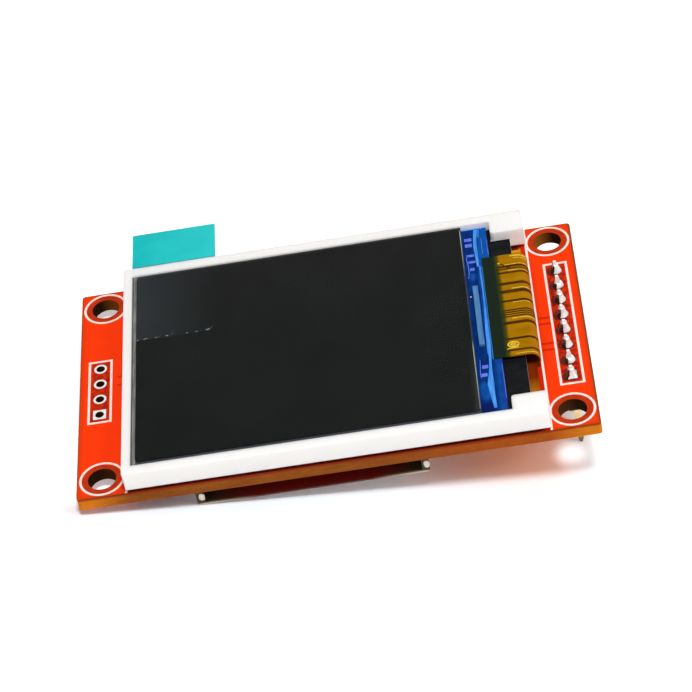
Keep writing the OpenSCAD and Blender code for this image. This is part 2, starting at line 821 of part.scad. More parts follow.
// A leaf in each rail, with a bump that the card pushes aside, and a tail behind the block
module switch_leaves() {
    both_sides() {
        translate([0, 0, leaf_z0]) linear_extrude(leaf_z1 - leaf_z0) polygon(strip([
            [leaf_x, socket_l + eps], [leaf_x, block_y0 - leaf_bump],
            [leaf_x - leaf_bump, block_y0 - leaf_l / 2], [leaf_x - leaf_bump, block_y0 - leaf_l / 2 - tip_l],
            [leaf_x, block_y0 - leaf_l]
        ], contact_t));
        block([leaf_x - contact_t / 2, socket_l, 0], [leaf_x + contact_t / 2, socket_l + tail_l, leaf_z1]);
    }
}

module card_switches() {
    color("gold") in_socket() switch_leaves();
}

// ---- Small parts on the back ----

module regulator_body() {
    l = regulator_size[0];
    w = regulator_size[1];
    h = regulator_size[2];
    draft = 0.08;
    color([0.12, 0.12, 0.13]) on_back(regulator_spot) difference() {
        along_x(-l / 2, l / 2) polygon([
            [-w / 2 + draft, standoff], [w / 2 - draft, standoff], [w / 2, standoff + h / 2],
            [w / 2 - draft, standoff + h], [-w / 2 + draft, standoff + h], [-w / 2, standoff + h / 2]
        ]);
        regulator_lead_row();
    }
}

// Two leads at one side and one at the other, each bent down to the board
module regulator_lead_row() {
    y = regulator_size[1] / 2;
    mid = standoff + regulator_size[2] / 2;
    for (place = [[-lead_pitch / 2, 0], [lead_pitch / 2, 0], [0, 180]])
        rotate([0, 0, place[1]]) translate([place[0], 0, 0]) along_x(-lead_w / 2, lead_w / 2)
            polygon(strip([[y - 0.25, mid], [y + 0.15, mid], [y + 0.25, lead_t / 2],
                           [y + lead_reach, lead_t / 2]], lead_t));
}

module regulator_leads() {
    color("silver") on_back(regulator_spot) regulator_lead_row();
}

// Ceramic body of a chip part, inside its metal ends
module chip_body(size) {
    block([-size[0] / 2 + cap_t, -size[1] / 2 + cap_t, cap_t],
          [size[0] / 2 - cap_t, size[1] / 2 - cap_t, size[2] - cap_t]);
}

// Metal end that wraps five sides of a chip part's body
module chip_ends(size) {
    for (sx = [0, 1]) mirror([sx, 0, 0]) difference() {
        block([size[0] / 2 - cap_l, -size[1] / 2, 0], [size[0] / 2, size[1] / 2, size[2]]);
        chip_body(size);
    }
}

module capacitor_bodies() {
    color("tan") for (spot = capacitor_spots) on_back(spot) chip_body(capacitor_size);
}

module resistor_bodies() {
    color([0.1, 0.1, 0.1]) for (spot = resistor_spots) on_back(spot) chip_body(resistor_size);
}

module chip_terminals() {
    color("silver") {
        for (spot = capacitor_spots) on_back(spot) chip_ends(capacitor_size);
        for (spot = resistor_spots) on_back(spot) chip_ends(resistor_size);
    }
}

// Pads under everything that is soldered to the board's back, and a two-part solder jumper
module chip_pads() {
    color("silver") {
        in_socket() translate([0, 0, -pad_t]) {
            for (i = [0 : contact_count - 1])
                translate([contact_x(i), 0, 0])
                    block([-contact_w / 2 - 0.15, socket_l + 0.4, 0],
                          [contact_w / 2 + 0.15, socket_l + tail_l + 0.3, pad_t]);
            both_sides() {
                block([leaf_x - 0.4, socket_l + 0.1, 0], [leaf_x + 0.4, socket_l + tail_l + 0.3, pad_t]);
                for (y = foot_ys)
                    block([wall_x - 0.1, y - 0.3, 0], [wall_x + foot_l + 0.4, y + foot_w + 0.3, pad_t]);
            }
        }
        for (spot = capacitor_spots) chip_land(spot, capacitor_size);
        for (spot = resistor_spots) chip_land(spot, resistor_size);
        on_back(regulator_spot) translate([0, 0, -pad_t]) regulator_land();
        for (sx = [-1, 1]) translate([jumper_spot[0], jumper_spot[1], -pad_t]) linear_extrude(pad_t)
            intersection() {
                circle(d = jumper_d);
                translate([sx * (jumper_d + jumper_gap) / 2, 0]) square([jumper_d, jumper_d], center = true);
            }
    }
}

module chip_land(spot, size) {
    on_back(spot) translate([0, 0, -pad_t]) both_sides()
        block([size[0] / 2 - cap_l, -size[1] / 2, 0], [size[0] / 2 + 0.4, size[1] / 2, pad_t]);
}

module regulator_land() {
    y = regulator_size[1] / 2;
    for (place = [[-lead_pitch / 2, 0], [lead_pitch / 2, 0], [0, 180]])
        rotate([0, 0, place[1]]) translate([place[0], 0, 0])
            block([-lead_w / 2 - 0.2, y + 0.1, 0], [lead_w / 2 + 0.2, y + lead_reach + 0.2, pad_t]);
}

circuit_board();
front_ink();
back_ink();
side_pads();
header_pads();
flex_pads();
chip_pads();
header_housing();
header_pins();
header_solder();
mounting_tape();
display_frame();
reflector_sheet();
light_guide();
diffuser_sheet();
lower_prism_sheet();
upper_prism_sheet();
backlight_lamps();
lamp_strip();
shield_tape();
rear_polarizer();
lower_glass();
upper_glass();
front_polarizer();
driver_chip();
flex_circuit();
flex_solder();
protective_film();
pull_tab();
socket_base();
socket_shell();
card_contacts();
card_switches();
regulator_body();
regulator_leads();
capacitor_bodies();
resistor_bodies();
chip_terminals();
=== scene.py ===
"""Looks of a small colour display module: materials, fine parts, floor, light and camera.

The CAD nodes come from the frame, in metres. Sizes here are written in millimetres and turned
into metres by mm(), and places are worked out from the boxes of the CAD nodes.
"""

import math
import random

import bpy
from mathutils import Matrix, Vector, noise


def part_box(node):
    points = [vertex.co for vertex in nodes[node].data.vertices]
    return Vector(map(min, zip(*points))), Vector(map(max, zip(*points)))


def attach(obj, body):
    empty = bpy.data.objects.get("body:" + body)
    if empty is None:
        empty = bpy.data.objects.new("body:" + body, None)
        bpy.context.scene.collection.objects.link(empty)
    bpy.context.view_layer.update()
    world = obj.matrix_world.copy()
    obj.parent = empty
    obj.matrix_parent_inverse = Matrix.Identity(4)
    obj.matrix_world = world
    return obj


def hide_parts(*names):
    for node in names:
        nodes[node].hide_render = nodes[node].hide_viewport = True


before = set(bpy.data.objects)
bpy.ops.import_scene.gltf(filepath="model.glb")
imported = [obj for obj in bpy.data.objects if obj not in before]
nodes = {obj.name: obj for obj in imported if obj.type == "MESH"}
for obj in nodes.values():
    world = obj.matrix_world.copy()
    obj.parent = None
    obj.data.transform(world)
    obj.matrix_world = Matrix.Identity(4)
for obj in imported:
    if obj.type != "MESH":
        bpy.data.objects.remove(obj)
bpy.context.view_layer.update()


def mm(value):
    """Millimetres as metres."""
    return value / 1000.0


# ---- Places worked out from the CAD nodes ----

_, board_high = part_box("circuit_board")
display_low, display_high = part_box("display_frame")
_, lower_glass_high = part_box("lower_glass")
upper_glass_low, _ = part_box("upper_glass")
flex_low, flex_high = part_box("flex_circuit")
tab_low, tab_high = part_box("pull_tab")
header_low, header_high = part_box("header_pins")
side_low, side_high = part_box("side_pads")
_, pads_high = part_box("header_pads")
shell_low, shell_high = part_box("socket_shell")
base_low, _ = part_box("socket_base")
polarizer_low, polarizer_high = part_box("front_polarizer")

BOARD_FRONT = board_high.z
PITCH = mm(2.54)
MAIN_PINS = 8
MAIN_X = (header_low.x + header_high.x) / 2
SIDE_X = (side_low.x + side_high.x) / 2
HOLE_X = board_high.x - mm(2.85)
HOLE_Y = board_high.y - mm(2.75)

# The flex circuit's bend, seen from the side
BEND_R = (flex_high.z - flex_low.z) / 2
BEND_X = flex_high.x - BEND_R
BEND_Z = (flex_high.z + flex_low.z) / 2


# ---- Shader nodes ----


def feed(tree, socket, value):
    """Gives a socket a value, or a link from another socket."""
    if isinstance(value, bpy.types.NodeSocket):
        tree.links.new(value, socket)
    else:
        socket.default_value = value


def place(tree, kind, inputs=None, **settings):
    """Adds a node. inputs says what its sockets are fed."""
    node = tree.nodes.new(kind)
    for key, value in settings.items():
        setattr(node, key, value)
    for key, value in (inputs or {}).items():
        feed(tree, node.inputs[key], value)
    return node


def dim(color, share):
    """A colour made darker."""
    return tuple(part * share for part in color)


def in_metres(path):
    """Points given in millimetres, as metres."""
    return [tuple(mm(part) for part in point) for point in path]


def calc(tree, operation, *values, clamp=False):
    """A Math node's result."""
    inputs = dict(enumerate(values))
    return place(tree, "ShaderNodeMath", inputs, operation=operation, use_clamp=clamp).outputs[0]


def times(tree, first, second):
    return calc(tree, "MULTIPLY", first, second)


def vector(tree, operation, *values):
    """A Vector Math node's outputs."""
    return place(tree, "ShaderNodeVectorMath", dict(enumerate(values)), operation=operation).outputs


def blend(tree, factor, low, high):
    """A colour from low to high as factor goes from 0 to 1."""
    node = place(tree, "ShaderNodeMix", {"Factor": factor}, data_type="RGBA")
    for socket, value in ((node.inputs[6], low), (node.inputs[7], high)):
        is_link = isinstance(value, bpy.types.NodeSocket)
        feed(tree, socket, value if is_link else (*value[:3], 1.0))
    return node.outputs[2]


def span(tree, value, low, high, to_low=0.0, to_high=1.0):
    """value moved from the range low..high to the range to_low..to_high, and held there."""
    inputs = {"Value": value, "From Min": low, "From Max": high, "To Min": to_low, "To Max": to_high}
    return place(tree, "ShaderNodeMapRange", inputs, clamp=True).outputs["Result"]


def fade(tree, value, low, high, first, second):
    """A colour from first to second as value goes from low to high."""
    return blend(tree, span(tree, value, low, high), first, second)


def noise_value(tree, position, scale, detail=3.0, roughness=0.55):
    inputs = {"Vector": position, "Scale": scale, "Detail": detail, "Roughness": roughness}
    return place(tree, "ShaderNodeTexNoise", inputs).outputs["Fac"]


def stretched(tree, position, x, y, z):
    """position with each of its axes multiplied, so that a pattern is drawn out along some of them."""
    return vector(tree, "MULTIPLY", position, (x, y, z))[0]


def new_group(name, inputs, outputs):
    """An empty shader node group. Returns it with its input and its output node."""
    group = bpy.data.node_groups.new(name, "ShaderNodeTree")
    for label, kind, value in inputs:
        socket = group.interface.new_socket(label, in_out="INPUT", socket_type=kind)
        if value is not None:
            socket.default_value = value
    for label, kind in outputs:
        group.interface.new_socket(label, in_out="OUTPUT", socket_type=kind)
    return group, group.nodes.new("NodeGroupInput"), group.nodes.new("NodeGroupOutput")


def make_patch_group():
    """Mask of a patch with round corners, seen from above: 1 inside it and 0 outside."""
    group, given, result = new_group(
        "patch_mask",
        [("Position", "NodeSocketVector", None), ("Centre", "NodeSocketVector", None),
         ("Half Size", "NodeSocketVector", None), ("Corner", "NodeSocketFloat", 0.0),
         ("Softness", "NodeSocketFloat", mm(0.03))],
        [("Mask", "NodeSocketFloat")],
    )
    flat = vector(group, "MULTIPLY", given.outputs["Position"], (1, 1, 0))[0]
    folded = vector(group, "ABSOLUTE", vector(group, "SUBTRACT", flat, given.outputs["Centre"])[0])[0]
    beyond = vector(group, "SUBTRACT", folded, given.outputs["Half Size"])[0]
    far = vector(group, "LENGTH", vector(group, "MAXIMUM", beyond, (0, 0, 0))[0])["Value"]
    inside = calc(group, "SUBTRACT", given.outputs["Corner"], far)
    mask = calc(group, "ADD", calc(group, "DIVIDE", inside, given.outputs["Softness"]), 0.5, clamp=True)
    group.links.new(mask, result.inputs["Mask"])
    return group


def make_grain_group():
    """Fine moulded or rolled surface: a height for a Bump node, and a slow patchy mask."""
    group, given, result = new_group(
        "fine_grain",
        [("Position", "NodeSocketVector", None), ("Grain Size", "NodeSocketFloat", mm(0.08)),
         ("Patch Size", "NodeSocketFloat", mm(3.0))],
        [("Height", "NodeSocketFloat"), ("Patches", "NodeSocketFloat")],
    )
    position = given.outputs["Position"]
    fine = noise_value(group, position, calc(group, "DIVIDE", 1.0, given.outputs["Grain Size"]), 2.0)
    slow = noise_value(group, position, calc(group, "DIVIDE", 1.0, given.outputs["Patch Size"]), 4.0)
    group.links.new(fine, result.inputs["Height"])
    group.links.new(span(group, slow, 0.35, 0.65), result.inputs["Patches"])
    return group


def make_fibre_group():
    """Sawn edge of a glass-fibre board: thin layers with broken fibres."""
    group, given, result = new_group(
        "fibre_edge", [("Position", "NodeSocketVector", None)], [("Layers", "NodeSocketFloat")])
    position = given.outputs["Position"]
    layers = noise_value(group, stretched(group, position, 900, 900, 7000), 1.0, 4.0, 0.65)
    spots = noise_value(group, stretched(group, position, 2600, 2600, 9000), 1.0, 2.0)
    both = calc(group, "ADD", times(group, layers, 0.65), times(group, spots, 0.35))
    group.links.new(span(group, both, 0.35, 0.65), result.inputs["Layers"])
    return group


PATCH = make_patch_group()
GRAIN = make_grain_group()
FIBRE = make_fibre_group()


def grouped(tree, group, **inputs):
    node = place(tree, "ShaderNodeGroup", node_tree=group)
    for key, value in inputs.items():
        feed(tree, node.inputs[key.replace("_", " ").title()], value)
    return node


def any_of(tree, masks):
    total = masks[0]
    for mask in masks[1:]:
        total = calc(tree, "MAXIMUM", total, mask)
    return total


class Finish:
    """A material under way: its tree, its Principled shader and the position on the object."""

    def __init__(self, name, color, roughness, metallic=0.0, specular=0.3, alpha=1.0):
        self.material = bpy.data.materials.new(name)
        self.material.use_nodes = True
        self.tree = self.material.node_tree
        self.shader = self.tree.nodes["Principled BSDF"]
        self.paint((*color, 1.0))
        self.set("Roughness", roughness)
        self.set("Metallic", metallic)
        self.set("Specular IOR Level", specular)
        self.set("Alpha", alpha)
        self.place = place(self.tree, "ShaderNodeTexCoord").outputs
        self.position = self.place["Object"]

    def set(self, socket, value):
        feed(self.tree, self.shader.inputs[socket], value)

    def paint(self, value):
        self.set("Base Color", value)

    def grain(self, strength, grain_size=mm(0.08), patch_size=mm(3.0), distance=mm(0.02)):
        """Adds a fine bump and returns the slow patchy mask."""
        sizes = {"grain_size": grain_size, "patch_size": patch_size}
        grain = grouped(self.tree, GRAIN, position=self.position, **sizes)
        self.bump(grain.outputs["Height"], strength, distance)
        return grain.outputs["Patches"]

    def bump(self, height, strength, distance):
        inputs = {"Height": height, "Strength": strength, "Distance": distance}
        self.set("Normal", place(self.tree, "ShaderNodeBump", inputs).outputs["Normal"])

    def axis(self, name):
        """One coordinate of the position."""
        return place(self.tree, "ShaderNodeSeparateXYZ", {0: self.position}).outputs[name]

    def facing(self, name):
        """How far the surface faces along one axis, from -1 to 1."""
        return place(self.tree, "ShaderNodeSeparateXYZ", {0: self.place["Normal"]}).outputs[name]

    def facing_up(self):
        """1 on faces that look along the board's normal, and 0 on its edges."""
        return span(self.tree, calc(self.tree, "ABSOLUTE", self.facing("Z")), 0.5, 0.7)

    def patch(self, x, y, half_x, half_y, corner=0.0, softness=mm(0.03), position=None):
        """Mask of a patch centred on x, y. half_x and half_y reach to the corners' round parts."""
        return grouped(self.tree, PATCH, position=position or self.position, centre=(x, y, 0),
                       half_size=(half_x, half_y, 1), corner=corner, softness=softness).outputs["Mask"]

    def cloud(self, scale, detail=3.0):
        """Noise that changes about scale times in a metre."""
        return noise_value(self.tree, self.position, scale, detail)

    def streaks(self, x, y, z, detail=3.0):
        """Noise drawn out along some axes. x, y and z say how often it changes in a metre."""
        return noise_value(self.tree, stretched(self.tree, self.position, x, y, z), 1.0, detail)


def give(material, *names):
    """Puts a material on CAD nodes."""
    for name in names:
        mesh = nodes[name].data
        mesh.materials.clear()
        mesh.materials.append(material)


# ---- Materials ----

MASK_RED = (0.98, 0.045, 0.0035)
MASK_SIDE = (0.8, 0.042, 0.0035)
MASK_RIM = (0.52, 0.06, 0.009)
MASK_RING = (0.53, 0.04, 0.0075)
MASK_BARE = (0.4, 0.018, 0.0035)
MASK_TRACE = (0.52, 0.012, 0.0015)
MASK_SHADED = (0.13, 0.008, 0.002)
MASK_END = (0.2, 0.05, 0.012)
FIBRE_BROWN = (0.28, 0.075, 0.012)
FIBRE_OLIVE = (0.33, 0.1, 0.016)
# Painted light on the board's edges: paler on its right half and towards its ends
FIBRE_LIT_RIGHT = (0.44, 0.093, 0.012)
FIBRE_LIT_ENDS = (0.8, 0.23, 0.013)
# Dark fibre: dark flecks on the edges, and painted shade on the hole walls; FIBRE_LIT is painted light on
# them
FIBRE_DARK_AND_SHADE = (0.024, 0.008, 0.003)
FIBRE_LIT = (0.34, 0.098, 0.006)
# Painted shade on the solder and on the board beside the joints
PAINTED_SHADE_DARK = (0.03, 0.006, 0.002)
PAINTED_SHADE_RED = (0.21, 0.018, 0.006)
INK_WHITE = (0.97, 0.88, 0.83)
TIN = (0.86, 0.86, 0.85)
GOLD = (0.83, 0.64, 0.3)


def make_board_finish():
    """Orange-red mask on the two faces, and sawn glass fibre on the edges and in the holes."""
    finish = Finish("board_mask", MASK_RED, 0.45, specular=0.03)
    tree = finish.tree
    x, y, z = finish.axis("X"), finish.axis("Y"), finish.axis("Z")
    across, along = calc(tree, "ABSOLUTE", x), calc(tree, "ABSOLUTE", y)
    quarter = place(tree, "ShaderNodeCombineXYZ", {"X": across, "Y": along}).outputs[0]
    cloud = finish.cloud(1500.0)

    # Faces: duller towards the rim
    patches = finish.grain(0.12, mm(0.25), mm(2.5))
    face = blend(tree, patches, MASK_RED, dim(MASK_RED, 0.96))
    for rim, softness, outer in ((mm(0.8), mm(0.35), MASK_SIDE), (mm(0.5), mm(0.15), MASK_RIM)):
        inner = finish.patch(0, 0, board_high.x - rim, board_high.y - rim, mm(0.3), softness)
        face = blend(tree, inner, outer, face)
    end = span(tree, x, board_high.x - mm(0.3), board_high.x - mm(0.14), 0.0, 0.8)
    face = blend(tree, end, face, MASK_END)

    # Darker round the screw holes and in the header rows, and painted shade on the board beside the display,
    # at the foot of its frame
    screw = finish.patch(HOLE_X, HOLE_Y, 0, 0, mm(2.25), mm(0.08), quarter)
    face = blend(tree, screw, face, fade(tree, cloud, 0.35, 0.65, MASK_RING, dim(MASK_RING, 0.78)))
    main_row, side_row = (finish.patch(row_x, 0, mm(0.85), half + mm(0.1), mm(0.2))
                          for row_x, half in ((MAIN_X, pads_high.y), (SIDE_X, side_high.y)))
    bare = fade(tree, finish.cloud(1900.0, 2.0), 0.42, 0.6, MASK_BARE, (0.66, 0.03, 0.004))
    bare = fade(tree, cloud, 0.52, 0.66, bare, (0.22, 0.008, 0.003))
    face = blend(tree, any_of(tree, [main_row, side_row]), face, bare)
    painted_shade_near = span(tree, across, display_high.x + mm(0.65), display_high.x + mm(0.1), 0.0, 0.6)
    face = blend(tree, painted_shade_near, face, dim(MASK_RED, 0.72))

    # Gaps in the copper beside the lines that run out to the headers, as x, y and half sizes
    gaps = [(24.5, 1.15, 0.85, 0.09), (24.6, 0.15, 0.75, 0.08), (24.5, -3.15, 0.85, 0.1),
            (24.6, -4.2, 0.75, 0.08), (-24.05, 2.1, 0.45, 0.05), (-24.05, 0.72, 0.45, 0.05)]
    lines = [finish.patch(*map(mm, gap), mm(0.08), mm(0.16)) for gap in gaps]
    face = blend(tree, times(tree, any_of(tree, lines), 0.75), face, MASK_TRACE)

    # In the shade of the display, and lit again past the flex circuit's fold
    display_x, under_edge = (display_low.x + display_high.x) / 2, mm(0.2)
    under = finish.patch(display_x, 0, display_high.x - display_x - under_edge, display_high.y - under_edge,
                         mm(0.3), mm(0.2))
    face = blend(tree, under, face, fade(tree, x, mm(22.4), mm(23.1), MASK_SHADED, (0.6, 0.02, 0.003)))

    # Edges: painted light, paler on the board's right half and towards its ends than in the middle under the
    # display; and stained red under the mask
    layers = grouped(tree, FIBRE, position=finish.position).outputs["Layers"]
    edge = fade(tree, finish.streaks(260, 260, 900), 0.38, 0.62, FIBRE_BROWN, FIBRE_OLIVE)
    edge = fade(tree, x, mm(5), mm(18), edge, FIBRE_LIT_RIGHT)
    edge = fade(tree, across, mm(23.2), mm(27.6), edge, FIBRE_LIT_ENDS)
    edge = blend(tree, times(tree, layers, 0.3), edge, FIBRE_DARK_AND_SHADE)
    stained = span(tree, z, BOARD_FRONT - mm(0.45), BOARD_FRONT - mm(0.15), 0.0, 0.85)
    edge = blend(tree, stained, edge, (0.25, 0.014, 0.003))

    # Hole walls: painted shade, with painted light on the side towards the board's middle
    towards = span(tree, across, HOLE_X + mm(0.7), HOLE_X - mm(1.5))
    lit = times(tree, towards, span(tree, y, mm(-18), mm(14)))
    wall = blend(tree, lit, FIBRE_DARK_AND_SHADE, FIBRE_LIT)
    edge = blend(tree, any_of(tree, [screw, side_row]), edge, wall)
    up = finish.facing_up()
    finish.paint(blend(tree, up, edge, face))
    finish.set("Roughness", span(tree, up, 0, 1, 0.8, 0.45))
    return finish.material


def make_coat_finish(name, color, other, roughness, specular, grain_size, patch_size):
    """A thin uneven coat: printed ink, or the painted shadow crescents beside the solder joints."""
    finish = Finish(name, color, roughness, specular=specular)
    finish.paint(blend(finish.tree, finish.grain(0.3, grain_size, patch_size), color, other))
    return finish.material


def make_metal_finish(name, color, roughness, mottle=0.12, grain_size=mm(0.12), strength=0.15,
                      metallic=1.0):
    """Bright plated or soldered metal, a little uneven."""
    finish = Finish(name, color, roughness, metallic=metallic, specular=0.5)
    patches = finish.grain(strength, grain_size, mm(0.6))
    finish.paint(blend(finish.tree, patches, color, dim(color, 1 - mottle)))
    finish.set("Roughness", span(finish.tree, patches, 0, 1, roughness * 0.8, roughness * 1.25))
    return finish.material


def make_solder_finish():
    """Bright solder, with painted shade, dark brown turning red, on the side away from the board's end."""
    finish = Finish("solder_joint", (0.95, 0.93, 0.91), 0.4, metallic=0.25, specular=0.4)
    tree = finish.tree
    patches = finish.grain(0.15, mm(0.2), mm(0.5))
    bright = blend(tree, patches, (0.91, 0.99, 0.96), (0.81, 0.88, 0.85))
    # Painted shade on the side away from the board's end, stronger low on the joint
    away = times(tree, finish.facing("X"), -1.0)
    uneven = times(tree, calc(tree, "SUBTRACT", finish.cloud(1400.0, 2.0), 0.5), 0.6)
    away = calc(tree, "ADD", away, uneven)
    height = span(tree, finish.axis("Z"), BOARD_FRONT + mm(1.4), BOARD_FRONT + mm(0.9))
    painted_shade = fade(tree, away, 0.72, 0.9, PAINTED_SHADE_DARK, PAINTED_SHADE_RED)
    share = times(tree, span(tree, away, 0.14, 0.26), height)
    finish.paint(blend(tree, share, bright, painted_shade))
    return finish.material


def make_pad_finish():
    """Tinned header pads: bright behind the board, and dark red in front of it."""
    finish = Finish("pad_tin", TIN, 0.3, metallic=0.6, specular=0.4)
    tree = finish.tree
    patches = finish.grain(0.2, mm(0.12), mm(0.3))
    front_red = blend(tree, patches, (0.3, 0.018, 0.006), (0.11, 0.008, 0.003))
    finish.paint(fade(tree, finish.axis("Z"), mm(0.5), mm(1.2), TIN, front_red))
    return finish.material


def make_pin_finish():
    """Gold-plated pins, with painted shade on their lower ends, and coated with solder at their upper ends,
    which carry painted shade on the side away from the board's end.
    """
    finish = Finish("pin_gold", GOLD, 0.28, metallic=1.0, specular=0.5)
    tree = finish.tree
    patches = finish.grain(0.12, mm(0.1), mm(0.5))
    gold = blend(tree, patches, GOLD, dim(GOLD, 0.86))
    z, foot = finish.axis("Z"), header_low.z
    # Painted shade on the pins' lower ends
    gold = fade(tree, z, foot + mm(2.0), foot + mm(0.6), gold, (0.2, 0.16, 0.08))
    coated = span(tree, z, BOARD_FRONT - mm(0.2), BOARD_FRONT)
    # Painted shade on the coated ends' side away from the board's end
    way = finish.facing("X")
    coated_shade = fade(tree, way, -0.2, -0.6, (0.95, 0.96, 0.95), (0.1, 0.02, 0.008))
    finish.paint(blend(tree, coated, gold, coated_shade))
    finish.set("Metallic", span(tree, coated, 0, 1, 1.0, 0.2))
    return finish.material


def make_moulded_finish(name, color, roughness, strength=0.25, shade=0.9):
    """Moulded plastic with a fine spark-eroded grain."""
    finish = Finish(name, color, roughness)
    patches = finish.grain(strength, mm(0.07), mm(4.0))
    finish.paint(blend(finish.tree, patches, color, dim(color, shade)))
    finish.set("Roughness", span(finish.tree, patches, 0, 1, roughness * 0.92, roughness * 1.1))
    return finish.material


def make_frame_finish():
    """White plastic that lets light through under its skin, and whose side faces are painted paler than its
    top, as painted light, so that its inner walls stay bright.
    """
    color = (0.955, 0.957, 0.95)
    finish = Finish("frame_white", color, 0.5, specular=0.12)
    finish.set("Subsurface Weight", 0.85)
    finish.set("Subsurface Radius", (0.7, 0.65, 0.6))
    finish.set("Subsurface Scale", mm(1.3))
    patches = finish.grain(0.08, mm(0.09), mm(5.0))
    top = blend(finish.tree, patches, color, (0.935, 0.938, 0.935))
    # Painted light: side faces paler than the top faces
    finish.paint(blend(finish.tree, finish.facing_up(), (0.99, 0.985, 0.97), top))
    return finish.material


def make_screen_finish():
    """Front polarizer: near black and satin, with a slow drift between blue and green."""
    finish = Finish("screen_dark", (0.005, 0.0062, 0.0052), 0.35, specular=0.035)
    tree = finish.tree
    drift = finish.cloud(55.0, 2.0)
    cool = fade(tree, drift, 0.35, 0.65, (0.0052, 0.0064, 0.0066), (0.0044, 0.0062, 0.0048))
    x, y = finish.axis("X"), finish.axis("Y")
    color = fade(tree, y, mm(-4), mm(14), cool, (0.0066, 0.007, 0.0068))
    # Paler near the right edge, towards the front
    near_edge = span(tree, x, polarizer_high.x - mm(0.75), polarizer_high.x)
    pale_corner = times(tree, near_edge, span(tree, y, mm(-4), mm(-12)))
    finish.paint(blend(tree, pale_corner, color, (0.028, 0.031, 0.028)))
    return finish.material


def make_border_finish():
    """Bare glass round the front polarizer: a pale streaked strip on its left, and dark elsewhere."""
    finish = Finish("glass_border", (0.03, 0.03, 0.03), 0.3, specular=0.08)
    tree = finish.tree
    streaks = finish.streaks(3000, 260, 400, 4.0)
    x, y = finish.axis("X"), finish.axis("Y")
    left = span(tree, x, upper_glass_low.x + mm(0.55), upper_glass_low.x + mm(0.45))
    front = span(tree, y, upper_glass_low.y + mm(0.55), upper_glass_low.y + mm(0.4))
    dark = blend(tree, front, (0.028, 0.029, 0.024), (0.05, 0.052, 0.07))
    pale = fade(tree, streaks, 0.35, 0.65, (0.12, 0.12, 0.105), (0.27, 0.27, 0.25))
    # A thin dark line at the strip's outer edge: painted shade in the gap next to the frame
    edge = span(tree, x, upper_glass_low.x + mm(0.05), upper_glass_low.x + mm(0.16))
    pale = blend(tree, edge, (0.04, 0.04, 0.036), pale)
    finish.paint(blend(tree, left, dark, pale))
    finish.bump(streaks, 0.06, mm(0.01))
    return finish.material


def make_ledge_finish():
    """Bare ledge of the lower glass: navy blue, with paler clouds where fine wiring fans out."""
    navy, royal = (0.0012, 0.018, 0.13), (0.006, 0.085, 0.38)
    finish = Finish("ledge_blue", navy, 0.3, specular=0.012)
    tree = finish.tree
    x, y = finish.axis("X"), finish.axis("Y")
    cloud = finish.streaks(1500, 500, 1, 4.0)
    patches = [(18.75, 12.3, 0.25, 1.1, 0.4, 0.4), (17.15, -11.8, 0.1, 0.9, 0.4, 0.6),
               (17.2, 7.4, 0.05, 0.3, 0.25, 0.4)]
    fans = [finish.patch(*map(mm, spot)) for spot in patches]
    fans += [
        times(tree, span(tree, x, mm(17.75), mm(18.05)), span(tree, y, mm(-6.9), mm(-6.5))),
        times(tree, span(tree, x, mm(18.2), mm(18.6)), 0.62),
    ]
    strength = times(tree, any_of(tree, fans), span(tree, cloud, 0.3, 0.62, 0.55, 1.0))
    strength = calc(tree, "ADD", strength, span(tree, cloud, 0.35, 0.7, 0.0, 0.32), clamp=True)
    corner = times(tree, span(tree, y, mm(-13.4), mm(-13.9)), span(tree, x, mm(18.1), mm(17.7)))
    blue = blend(tree, strength, navy, royal)
    blue = blend(tree, corner, blue, (0.003, 0.012, 0.11))
    side = times(tree, span(tree, x, mm(18.9), mm(19.2)), span(tree, y, mm(-6.0), mm(-8.0)))
    finish.paint(blend(tree, times(tree, side, 0.6), blue, (0.02, 0.04, 0.34)))
    finish.bump(cloud, 0.05, mm(0.005))
    return finish.material


def make_wiring_finish(name, pale, deep):
    """Metal lines on the glass, which shine blue."""
    finish = Finish(name, pale, 0.35, specular=0.05)
    tree = finish.tree
    cloud = finish.streaks(2500, 500, 1)
    finish.paint(fade(tree, cloud, 0.35, 0.65, pale, deep))
    finish.bump(cloud, 0.1, mm(0.004))
    return finish.material


def make_chip_finish():
    """Ground back of the bare driver chip."""
    pale, deep = (0.09, 0.245, 0.48), (0.045, 0.165, 0.38)
    finish = Finish("chip_silicon", pale, 0.35, specular=0.12)
    tree = finish.tree
    streaks = finish.streaks(3000, 350, 1)
    finish.paint(fade(tree, streaks, 0.35, 0.65, pale, deep))
    finish.bump(streaks, 0.08, mm(0.003))
    return finish.material


def low_layer(finish):
    """1 on the flex circuit's layer under the bend, and 0 on the layer over it."""
    return span(finish.tree, finish.axis("Z"), BEND_Z - mm(0.15), BEND_Z - mm(0.6))


